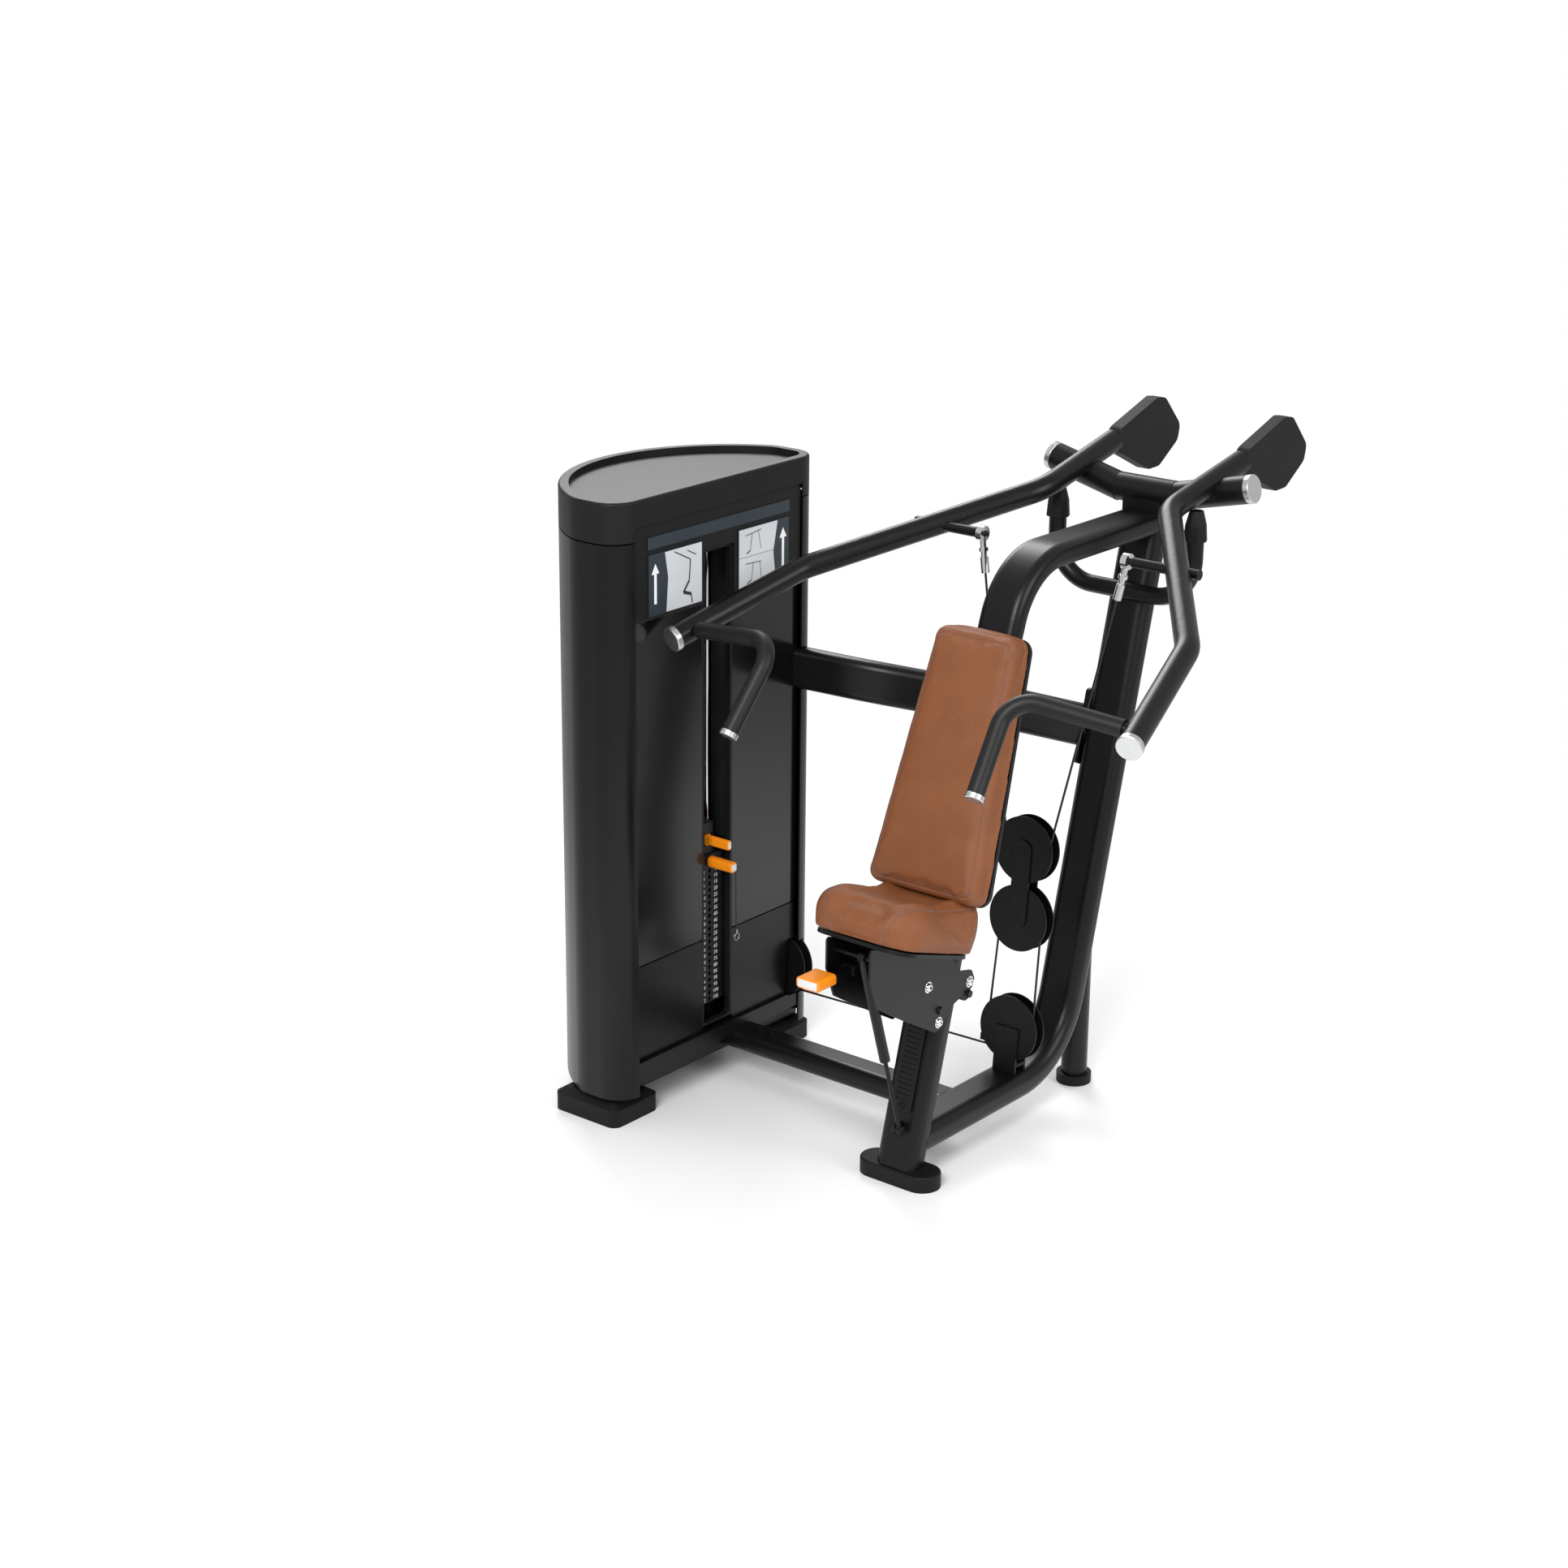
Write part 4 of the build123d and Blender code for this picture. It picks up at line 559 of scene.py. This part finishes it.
def sewn(cushion, rows, name, body):
    """Stitches along rows of points: each is a short rounded thread lying on the cushion's skin."""
    tree = BVHTree.FromObject(cushion, bpy.context.evaluated_depsgraph_get())
    mesh = bpy.data.meshes.new(name)
    built = bmesh.new()
    for row in rows:
        for (origin, direction), along in row:
            hit, normal, _, _ = tree.ray_cast(origin, direction)
            if hit is None:
                continue
            tangent = (along - normal * along.dot(normal)).normalized()
            side = normal.cross(tangent)
            length, width, height = 0.0021, 0.00055, 0.0005
            ring = []
            for share, swell in ((-1.0, 0.25), (-0.7, 0.9), (0.0, 1.0), (0.7, 0.9), (1.0, 0.25)):
                centre = hit + tangent * length * share + normal * height * (0.5 * swell - 0.1)
                over, up = side * width * swell, normal * height * swell
                ring.append([built.verts.new(centre + over * math.cos(a) + up * math.sin(a))
                             for a in (math.tau * k / 6 for k in range(6))])
            for first, second in zip(ring, ring[1:]):
                for k in range(6):
                    built.faces.new((first[k], first[(k + 1) % 6], second[(k + 1) % 6], second[k]))
            built.faces.new(list(reversed(ring[0])))
            built.faces.new(ring[-1])
    bmesh.ops.recalc_face_normals(built, faces=built.faces[:])
    built.to_mesh(mesh)
    built.free()
    stitches = bpy.data.objects.new(name, mesh)
    bpy.context.scene.collection.objects.link(stitches)
    for face in mesh.polygons:
        face.use_smooth = True
    return named(stitches, name, "thread", body)


def pressed(cushion, rows, depth, width):
    """Presses a narrow channel into the skin along rows of surface points."""
    middles = [point for row in rows for point in row]
    speck = (Vector(), Vector((1e-5, 0, 0)), Vector((0, 1e-5, 0)))
    tree = BVHTree.FromPolygons([point + corner for point in middles for corner in speck],
                                [(3 * k, 3 * k + 1, 3 * k + 2) for k in range(len(middles))])
    for vertex in cushion.data.vertices:
        found = tree.find_nearest(vertex.co, width * 2.5)
        if found[0] is not None:
            share = max(0.0, 1 - (found[3] / width) ** 2) if found[3] < width else 0.0
            vertex.co -= vertex.normal * depth * share


def surface_rows(cushion, rows):
    """The rows' points dropped on to the cushion's skin."""
    tree = BVHTree.FromObject(cushion, bpy.context.evaluated_depsgraph_get())
    result = []
    for row in rows:
        found = []
        for ray, _ in row:
            hit = tree.ray_cast(*ray)[0]
            if hit is not None:
                found.append(hit)
        result.append(found)
    return result


def colour(label, code):
    """A colour property with its default from an sRGB hex code."""
    return bpy.props.FloatVectorProperty(
        name=label, description=f"Colour of the {label.lower()}", subtype="COLOR", size=3, min=0, max=1,
        default=linear(code))


class MachineColours(bpy.types.PropertyGroup):
    """Colours of the machine's finishes."""

    frame: colour("Frame", "#0B0B0C")
    tower: colour("Tower", "#0C0C0D")
    cap: colour("Cap and trim", "#101011")
    pulley: colour("Pulleys", "#0C0C0D")
    rubber: colour("Rubber", "#0B0B0B")
    grip: colour("Grips", "#121213")
    iron: colour("Weights", "#0E0E0F")
    aluminium: colour("Aluminium", "#D4D5D6")
    chrome: colour("Chrome", "#E6E6E8")
    zinc: colour("Zinc plate", "#A9ABAE")
    orange: colour("Handles", "#F28C14")
    insert: colour("Handle inserts", "#D9DADB")
    slate: colour("Placard slate", "#2A333B")
    card: colour("Placard card", "#CDD0D4")
    ink: colour("Placard ink", "#2A3036")
    white: colour("Print white", "#EDEDED")
    panel: colour("Inner panel", "#6E7073")
    thread: colour("Thread", "#77757A")
    leather: colour("Upholstery", "#875130")


class MachineSizes(bpy.types.PropertyGroup):
    """Sizes of the cushions and their sewn details."""

    stitch_pitch: bpy.props.FloatProperty(
        name="Stitch pitch", description="Distance from stitch to stitch, in millimetres",
        default=6.0, min=3.0, max=15.0)
    cushion_swell: bpy.props.FloatProperty(
        name="Cushion swell", description="Most that a cushion's skin may bulge",
        default=0.009, min=0.0, max=0.02, unit="LENGTH")
    seam_depth: bpy.props.FloatProperty(
        name="Seam depth", description="How far a seam is pulled into the cushion",
        default=0.0016, min=0.0, max=0.005, unit="LENGTH")


class MACHINE_OT_finishes(bpy.types.Operator):
    """Make the materials and give each frame part its own"""
    bl_idname = "machine.finishes"
    bl_label = "Finishes"

    def execute(self, context):
        make_materials(context.scene.machine_colours)
        for finish, names in NODE_FINISH.items():
            for name in names.split():
                node = frame["nodes"][name]
                node.data.materials.clear()
                node.data.materials.append(MATERIALS[finish])
                only(node)
                bpy.ops.object.shade_smooth_by_angle(angle=math.radians(28))
        # The lever's stalk gets the black frame coat: painted shade, as the stalk lies in shadow and only the
        # orange paddle shows.
        lever = frame["nodes"]["release_lever"]
        lever.data.materials.append(MATERIALS["coat"])
        for face in lever.data.polygons:
            if face.center.y > -0.1975:
                face.material_index = 1
        return {"FINISHED"}


class MACHINE_OT_stage(bpy.types.Operator):
    """Add the floor, the studio lights and the camera"""
    bl_idname = "machine.stage"
    bl_label = "Stage"

    def execute(self, context):
        scene = context.scene
        nothing_selected()
        bpy.ops.mesh.primitive_plane_add(size=9, location=(0, 0, 0))
        floor = context.object
        floor.name = "floor"
        made, tree, surface = blank("studio_floor")
        place = shader(tree, "ShaderNodeTexCoord").outputs["Object"]
        cloud = shader(tree, "ShaderNodeTexNoise", {"Vector": place, "Scale": 1.5})
        tint = shader(tree, "ShaderNodeValToRGB", {"Fac": cloud.outputs["Fac"]})
        tint.color_ramp.elements[0].color = (0.93, 0.93, 0.93, 1)
        tint.color_ramp.elements[1].color = (0.96, 0.96, 0.96, 1)
        tree.links.new(tint.outputs["Color"], surface.inputs["Base Color"])
        surface.inputs["Roughness"].default_value = 0.7
        surface.inputs["Specular IOR Level"].default_value = 0.2
        reach = shader(tree, "ShaderNodeVectorMath", {0: place}, operation="LENGTH")
        fade = shader(tree, "ShaderNodeMapRange", {
            "Value": reach.outputs["Value"], "From Min": 1.0, "From Max": 3.2}, interpolation_type="SMOOTHSTEP")
        clear = shader(tree, "ShaderNodeBsdfTransparent")
        blended = shader(tree, "ShaderNodeMixShader", {
            0: fade.outputs["Result"], 1: surface.outputs[0], 2: clear.outputs[0]})
        target = next(n for n in tree.nodes if n.bl_idname == "ShaderNodeOutputMaterial")
        tree.links.new(blended.outputs[0], target.inputs["Surface"])
        floor.data.materials.append(made)
        world = bpy.data.worlds.new("studio")
        scene.world = world
        world.use_nodes = True
        sky = world.node_tree
        sky.nodes.clear()
        seen = shader(sky, "ShaderNodeBackground", {"Color": (1, 1, 1, 1), "Strength": 1.0})
        glow = shader(sky, "ShaderNodeBackground", {"Color": (1, 1, 1, 1), "Strength": 0.6})
        ray = shader(sky, "ShaderNodeLightPath")
        mixed = shader(sky, "ShaderNodeMixShader", {
            0: ray.outputs["Is Camera Ray"], 1: glow.outputs[0], 2: seen.outputs[0]})
        out = shader(sky, "ShaderNodeOutputWorld")
        sky.links.new(mixed.outputs[0], out.inputs["Surface"])
        for name, place, aim, size, power in (
                ("key_light", (1.5, -4.5, 4.5), (-0.2, 0.3, 0.8), 2.5, 260),
                ("side_light", (4.5, 0.5, 3.0), (0, 0.4, 0.8), 2.5, 90),
                ("rear_light", (-3.5, 3.0, 4.0), (-0.3, 0.3, 0.9), 2.5, 140)):
            lamp = bpy.data.lights.new(name, "AREA")
            lamp.size = size
            lamp.energy = power
            holder = bpy.data.objects.new(name, lamp)
            scene.collection.objects.link(holder)
            holder.location = place
            holder.rotation_euler = (Vector(aim) - Vector(place)).to_track_quat("-Z", "Y").to_euler()
        camera = bpy.data.objects.new("camera", bpy.data.cameras.new("camera"))
        scene.collection.objects.link(camera)
        azimuth, elevation, roll = (math.radians(a) for a in (38.908, 18.690, 0.454))
        back = Vector((math.sin(azimuth) * math.cos(elevation), -math.cos(azimuth) * math.cos(elevation),
                       math.sin(elevation)))
        level = Vector((math.cos(azimuth), math.sin(azimuth), 0))
        upward = back.cross(level)
        right = level * math.cos(roll) + upward * math.sin(roll)
        upward = upward * math.cos(roll) - level * math.sin(roll)
        turn = Matrix((right, upward, back)).transposed().to_4x4()
        camera.matrix_world = Matrix.Translation(Vector((3.396, -4.604, 2.800))) @ turn
        camera.data.sensor_width = 36.0
        camera.data.lens = 36.0 * 3719.7 / 1932
        camera.data.clip_end = 200
        scene.camera = camera
        scene.view_settings.view_transform = "Standard"
        return {"FINISHED"}


class MACHINE_OT_seat_cushion(bpy.types.Operator):
    """Blow up the seat cushion, press its seams and sew them"""
    bl_idname = "machine.seat_cushion"
    bl_label = "Seat cushion"

    def execute(self, context):
        sizes = context.scene.machine_sizes
        base = SEAT_MIDDLE + SEAT_UP * 0.0084

        def on_pan(co):
            return (co - base).dot(SEAT_UP) < 0.012

        cushion = inflated("seat_pad", on_pan, sizes.cushion_swell)
        for vertex in cushion.data.vertices:
            local = vertex.co - base
            rise, along, across = local.dot(SEAT_UP), local.dot(SEAT_BACK), local.x
            top = smooth_step((rise - 0.03) / 0.045)
            inner, outer = smooth_step((abs(across) - 0.045) / 0.05), smooth_step((0.13 - abs(across)) / 0.03)
            shoulder = 0.010 * inner * outer
            rear = 0.016 * smooth_step((along + 0.02) / 0.12)
            nose = -0.006 * smooth_step((-along - 0.07) / 0.06)
            vertex.co += SEAT_UP * top * (shoulder + rear + nose + 0.003)
            belly = 0.007 * math.exp(-((rise - 0.045) / 0.022) ** 2)
            tuck = -0.003 * math.exp(-((rise - 0.004) / 0.008) ** 2)
            out = RIGHT * across + SEAT_BACK * along
            edge = smooth_step((max(abs(across) / 0.134, abs(along) / 0.1415) - 0.7) / 0.25)
            vertex.co += out.normalized() * (belly + tuck) * edge
        subdivided(cushion)
        heart = base + SEAT_UP * 0.035

        def seam(side, shift):
            """Up the front beside the corner, over the top edge and back along the shoulder."""
            knots = [(84, -170, -4), (90, -172, 30), (95, -150, 66), (101, -108, 84), (106, -50, 88),
                     (108, 20, 90), (104, 90, 92), (98, 160, 84)]
            points = smoothed([Vector((side * (x + shift), y, z)) for x, y, z in knots], sizes.stitch_pitch)
            row = []
            for point, heading in points:
                place = base + (RIGHT * point.x + SEAT_BACK * point.y + SEAT_UP * point.z) * MM
                way = RIGHT * heading.x + SEAT_BACK * heading.y + SEAT_UP * heading.z
                origin = heart + (place - heart) * 2
                row.append(((origin, (heart - place).normalized()), way))
            return row

        pressed(cushion, surface_rows(cushion, [seam(1, 0), seam(-1, 0)]), sizes.seam_depth, 0.0045)
        cushion.data.update()
        named(cushion, "seat_cushion", "leather")
        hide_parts("seat_pad")
        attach(cushion, "carriage")
        sewn(cushion, [seam(1, 4), seam(1, -4), seam(-1, 4), seam(-1, -4)], "seat_stitching", "carriage")
        return {"FINISHED"}


class MACHINE_OT_back_cushion(bpy.types.Operator):
    """Blow up the back cushion, press its seams and sew them"""
    bl_idname = "machine.back_cushion"
    bl_label = "Back cushion"

    def execute(self, context):
        sizes = context.scene.machine_sizes

        def on_shell(co):
            return (co - BACK_FOOT).dot(BACK_OUT) < -0.012

        cushion = inflated("back_pad", on_shell, sizes.cushion_swell * 0.7)
        for vertex in cushion.data.vertices:
            local = vertex.co - BACK_FOOT
            out, up, across = local.dot(BACK_OUT), local.dot(BACK_UP), local.x
            half = 0.145 + (0.107 - 0.145) * up / 0.558
            share = max(0.0, min(1.0, (out + 0.005) / 0.025))
            crown = 0.006 * max(0.0, 1 - (across / half) ** 2) * max(0.0, 1 - ((up - 0.26) / 0.3) ** 4)
            vertex.co += BACK_OUT * share * crown
        subdivided(cushion)
        corners = [(-145, 0), (145, 0), (107, 558), (-107, 558)]
        path = outline_points(corners, (34, 34, 34, 34), sizes.stitch_pitch)

        def rows_at(inset):
            row = []
            for flat, along, out in path:
                at = flat - out * inset
                origin = BACK_FOOT + RIGHT * at.x * MM + BACK_UP * at.y * MM + BACK_OUT * 0.09
                row.append(((origin, -BACK_OUT), RIGHT * along.x + BACK_UP * along.y))
            return row

        side = []
        for flat, along, out in path:
            beside = flat + out * 40
            origin = BACK_FOOT + RIGHT * beside.x * MM + BACK_UP * beside.y * MM - BACK_OUT * 0.004
            side.append(((origin, -(RIGHT * out.x + BACK_UP * out.y)), RIGHT * along.x + BACK_UP * along.y))
        seams = surface_rows(cushion, [rows_at(22), side])
        pressed(cushion, seams, sizes.seam_depth, 0.0045)
        cushion.data.update()
        named(cushion, "back_cushion", "leather")
        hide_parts("back_pad")
        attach(cushion, "frame")
        sewn(cushion, [rows_at(18), rows_at(26)], "back_stitching", "frame")
        return {"FINISHED"}


def strand(start, end, radius=2.5):
    """A cable strand as a turned rod cut into short lengths."""
    length = (end - start).length / MM
    profile = [(0, 0)] + [(radius, length * k / 24) for k in range(25)] + [(0, length)]
    return turned(profile, start, end - start, steps=12)


class MACHINE_OT_cables(bpy.types.Operator):
    """Make the cable strands of the block and the stack"""
    bl_idname = "machine.cables"
    bl_label = "Cables"

    def execute(self, context):
        runs = (("anchor_strand", (-64, 184), (-52, 462), "frame", "block"),
                ("lift_strand", (52, 212), (52, 462), "frame", "block"))
        pieces = []
        for name, low, high, first, second in runs:
            start, end = cable_point(*low), cable_point(*high)
            piece = strand(start, end)
            named(piece, name, "cable")
            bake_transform(piece)
            pieces.append(piece)
        for piece in pieces:
            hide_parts("lift_strands")
        low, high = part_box("stack_strand")
        middle = (Vector(low) + Vector(high)) / 2
        start, end = Vector((middle.x, middle.y, low[2])), Vector((middle.x, middle.y, high[2]))
        piece = strand(start, end)
        named(piece, "stack_cable", "cable")
        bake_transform(piece)
        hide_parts("stack_strand")
        return {"FINISHED"}


class MACHINE_OT_lanyard(bpy.types.Operator):
    """Hang the selector pin's cord with its ring"""
    bl_idname = "machine.lanyard"
    bl_label = "Pin lanyard"

    def execute(self, context):
        pin_low, pin_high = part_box("selector_pin")
        tip_x, pin_z = pin_high[0], (pin_low[2] + pin_high[2]) / 2
        route = [(tip_x - 0.008, 0.1415, pin_z), (tip_x - 0.006, 0.143, pin_z - 0.045),
                 (tip_x - 0.009, 0.145, pin_z - 0.100), (tip_x - 0.007, 0.146, pin_z - 0.158)]
        line = bpy.data.curves.new("pin_cord", "CURVE")
        line.dimensions = "3D"
        spline = line.splines.new("NURBS")
        spline.points.add(len(route) - 1)
        for point, place in zip(spline.points, route):
            point.co = (*place, 1)
        spline.order_u = 3
        spline.use_endpoint_u = True
        line.bevel_depth = 0.0013
        line.bevel_resolution = 3
        line.use_fill_caps = True
        cord = bpy.data.objects.new("pin_cord", line)
        context.scene.collection.objects.link(cord)
        line.materials.append(MATERIALS["cable"])
        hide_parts("pin_lanyard")
        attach(cord, "pin")
        end = Vector(route[-1])
        nothing_selected()
        bpy.ops.mesh.primitive_torus_add(
            major_radius=0.0078, minor_radius=0.0012, major_segments=32, minor_segments=8,
            location=end - Vector((0, 0, 0.0097)), rotation=(0, math.pi / 2, 0))
        ring = settle(context.object)
        bpy.ops.object.shade_smooth()
        sleeve = turned([(0, -1), (2.1, -1), (2.3, 0), (2.3, 7), (1.6, 8.5), (0, 8.5)],
                        end - Vector((0, 0, 0.001)), Vector((0, 0, 1)), steps=16)
        ring = joined([ring, sleeve])
        named(ring, "cord_ring", "zinc", "pin")
        return {"FINISHED"}


class MACHINE_OT_bolts(bpy.types.Operator):
    """Fit the visible bolts of the carriage, pulleys, post and frame"""
    bl_idname = "machine.bolts"
    bl_label = "Bolts"

    def execute(self, context):
        sides = (Vector((1, 0, 0)), Vector((-1, 0, 0)))
        carriage = []
        for y, z in ((43.7, 353), (149.8, 410), (5, 443)):
            for out in sides:
                carriage.append(socket_bolt(Vector((out.x * 57, y, z)) * MM, out, 9.6, 7.0))
        named(joined(carriage), "carriage_bolts", "chrome", "carriage")
        for name, body, centres in (("block_bolts", "block", ((0, 462), (0, 614))),
                                    ("bottom_pulley_bolts", "frame", ((0, 212),)),
                                    ("tower_pulley_bolts", "frame", ((-636, 196),))):
            made = []
            for across, up in centres:
                for way in (1, -1):
                    made.append(socket_bolt(cable_point(across, up, way * 15), CABLE_OUT * way, 7.5, 4.5))
            named(joined(made), name, "iron", body)
        cover = []
        for along in (162, 380):
            place = Vector((0, -9, 0)) * MM + POST_UP * along * MM + POST_OUT * 35.2 * MM
            cover.append(socket_bolt(place, POST_OUT, 6.0, 3.5))
        named(joined(cover), "cover_screws", "nylon", "frame")
        return {"FINISHED"}


class MACHINE_OT_placards(bpy.types.Operator):
    """Print the header strip and the two instruction cards with plain pictograms"""
    bl_idname = "machine.placards"
    bl_label = "Placards"

    def execute(self, context):
        low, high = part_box("placard_cards")
        face, out, across = high[0], Vector((1, 0, 0)), Vector((0, 1, 0))

        def plate(outline, lift, finish, name, thick=0.35):
            foot = Vector((face + (lift - 0.3) * MM, TOWER_MIDDLE_Y, 0))
            piece = slab([(y - 128, z) for y, z in outline], foot, out, across, thick)
            return named(piece, name, finish, "frame")

        def frame_of(y0, y1, z0, z1, r=4):
            points = []
            for cy, cz, start in ((y1 - r, z1 - r, 0), (y0 + r, z1 - r, 90), (y0 + r, z0 + r, 180),
                                  (y1 - r, z0 + r, 270)):
                for k in range(5):
                    a = math.radians(start + 22.5 * k)
                    points.append((cy + r * math.cos(a), cz + r * math.sin(a)))
            return points

        first = plate(frame_of(-103, 359, 1268, 1294), 0.0, "header", "header_strip")
        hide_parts("placard_cards")
        plate(frame_of(-101, 69, 1125, 1257), 0.0, "header", "left_card")
        plate(frame_of(187, 357, 1125, 1257), 0.0, "header", "right_card")
        plate([(-46, 1127), (67, 1127), (67, 1255), (-50, 1255), (-40, 1200)], 0.4, "card", "left_picture")
        plate([(189, 1127), (312, 1127), (304, 1190), (318, 1255), (189, 1255)], 0.4, "card", "right_picture")
        bars = [((-20, 1250), (30, 1225), 2.4), ((20, 1246), (48, 1232), 2.0), ((30, 1225), (26, 1180), 3.0),
                ((26, 1180), (8, 1158), 5.0), ((8, 1158), (32, 1150), 7.0), ((32, 1150), (36, 1130), 3.0),
                ((210, 1240), (262, 1246), 1.6), ((232, 1243), (226, 1206), 1.4), ((226, 1206), (214, 1200), 2.6),
                ((252, 1246), (262, 1204), 1.2), ((210, 1178), (262, 1176), 1.6), ((236, 1176), (230, 1140), 1.4),
                ((230, 1140), (216, 1134), 2.6), ((258, 1176), (264, 1134), 1.2), ((189, 1193), (306, 1193), 0.7)]
        marks = []
        for (y0, z0), (y1, z1), width in bars:
            run = Vector((y1 - y0, z1 - z0)).normalized()
            side = Vector((-run.y, run.x)) * width / 2
            marks.append(slab([(y0 - 128 + side.x, z0 + side.y), (y0 - 128 - side.x, z0 - side.y),
                               (y1 - 128 - side.x, z1 - side.y), (y1 - 128 + side.x, z1 + side.y)],
                              Vector((face + 0.5 * MM, TOWER_MIDDLE_Y, 0)), out, across, 0.3))
        named(joined(marks), "pictogram_lines", "ink", "frame")
        arrows = [[(-84, 1150), (-76, 1150), (-76, 1214), (-68, 1214), (-80, 1236), (-92, 1214), (-84, 1214)],
                  [(333, 1150), (341, 1150), (341, 1214), (349, 1214), (337, 1236), (325, 1214), (333, 1214)]]
        foot = Vector((face + 0.1 * MM, TOWER_MIDDLE_Y, 0))
        white = [slab([(y - 128, z) for y, z in arrow], foot, out, across, 0.3) for arrow in arrows]
        named(joined(white), "pictogram_arrows", "white", "frame")
        return {"FINISHED"}


class MACHINE_OT_stack_numbers(bpy.types.Operator):
    """Number the stack's plates and fit the inner panel behind them"""
    bl_idname = "machine.stack_numbers"
    bl_label = "Stack numbers"

    def execute(self, context):
        labels = []
        for k in range(21):
            for side, factor in ((0.020, 5), (-0.020, 2)):
                nothing_selected()
                bpy.ops.object.text_add()
                text = context.object
                text.data.body = str((21 - k) * factor)
                text.data.size = 0.0125
                text.data.align_x = "CENTER"
                text.data.align_y = "CENTER"
                text.data.extrude = 0.00015
                text.data.resolution_u = 2
                only(text)
                bpy.ops.object.convert(target="MESH")
                text = context.object
                spot = Vector((STACK_FACE_X + 0.0002, TOWER_MIDDLE_Y + side, 0.193 + 0.0152 * k))
                text.matrix_world = Matrix.Translation(spot) @ turn_to(Vector((1, 0, 0)), Vector((0, 1, 0)))
                labels.append(settle(text))
        named(joined(labels), "plate_numbers", "white", "frame")
        panel = block((-764, -118, 104), (-762, 374, 1214), 0.5)
        named(panel, "inner_panel", "panel", "frame")
        return {"FINISHED"}


class MACHINE_OT_handles(bpy.types.Operator):
    """Fit the grey inserts of the orange handles"""
    bl_idname = "machine.handles"
    bl_label = "Handle inserts"

    def execute(self, context):
        low, high = (Vector(v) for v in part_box("release_lever"))
        z = 502
        insert = block((-51 - 24, low.y / MM - 1.0, z - 8.5), (-51 + 24, low.y / MM + 2, z + 8.5), 2.5, 3)
        named(insert, "release_insert", "insert", "release")
        for node, name, body in (("addon_lever", "addon_insert", "addon"), ("selector_pin", "pin_insert", "pin")):
            low, high = (Vector(v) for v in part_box(node))
            y, x = 128, high.x / MM
            mid = (low.z + high.z) / 2 / MM
            wide = 4.2 if node == "addon_lever" else 7.5
            insert = block((x - 2, y - wide, mid - 7.5), (x + 1.0, y + wide, mid + 7.5), 2.0, 3)
            named(insert, name, "insert", body)
        return {"FINISHED"}


class MACHINE_PT_panel(bpy.types.Panel):
    """Lists the machine's pieces in the sidebar"""
    bl_idname = "MACHINE_PT_panel"
    bl_label = "Shoulder press"
    bl_space_type = "VIEW_3D"
    bl_region_type = "UI"
    bl_category = "Machine"

    def draw(self, context):
        for name in STEPS:
            self.layout.operator(f"machine.{name}")
        for key in MachineColours.__annotations__:
            self.layout.prop(context.scene.machine_colours, key)
        for key in MachineSizes.__annotations__:
            self.layout.prop(context.scene.machine_sizes, key)


STEPS = ("finishes", "stage", "seat_cushion", "back_cushion", "cables", "lanyard", "bolts", "placards",
         "stack_numbers", "handles")
CLASSES = (MachineColours, MachineSizes, MACHINE_OT_finishes, MACHINE_OT_stage, MACHINE_OT_seat_cushion,
           MACHINE_OT_back_cushion, MACHINE_OT_cables, MACHINE_OT_lanyard, MACHINE_OT_bolts, MACHINE_OT_placards,
           MACHINE_OT_stack_numbers, MACHINE_OT_handles, MACHINE_PT_panel)


def register():
    """Registers the classes and their settings."""
    for item in CLASSES:
        bpy.utils.register_class(item)
    bpy.types.Scene.machine_colours = bpy.props.PointerProperty(type=MachineColours)
    bpy.types.Scene.machine_sizes = bpy.props.PointerProperty(type=MachineSizes)


def unregister():
    """Removes the settings and the classes."""
    del bpy.types.Scene.machine_sizes
    del bpy.types.Scene.machine_colours
    for item in reversed(CLASSES):
        bpy.utils.unregister_class(item)


def main():
    """Builds the whole machine."""
    register()
    for name in STEPS:
        getattr(bpy.ops.machine, name)()


if __name__ == "__main__":
    main()
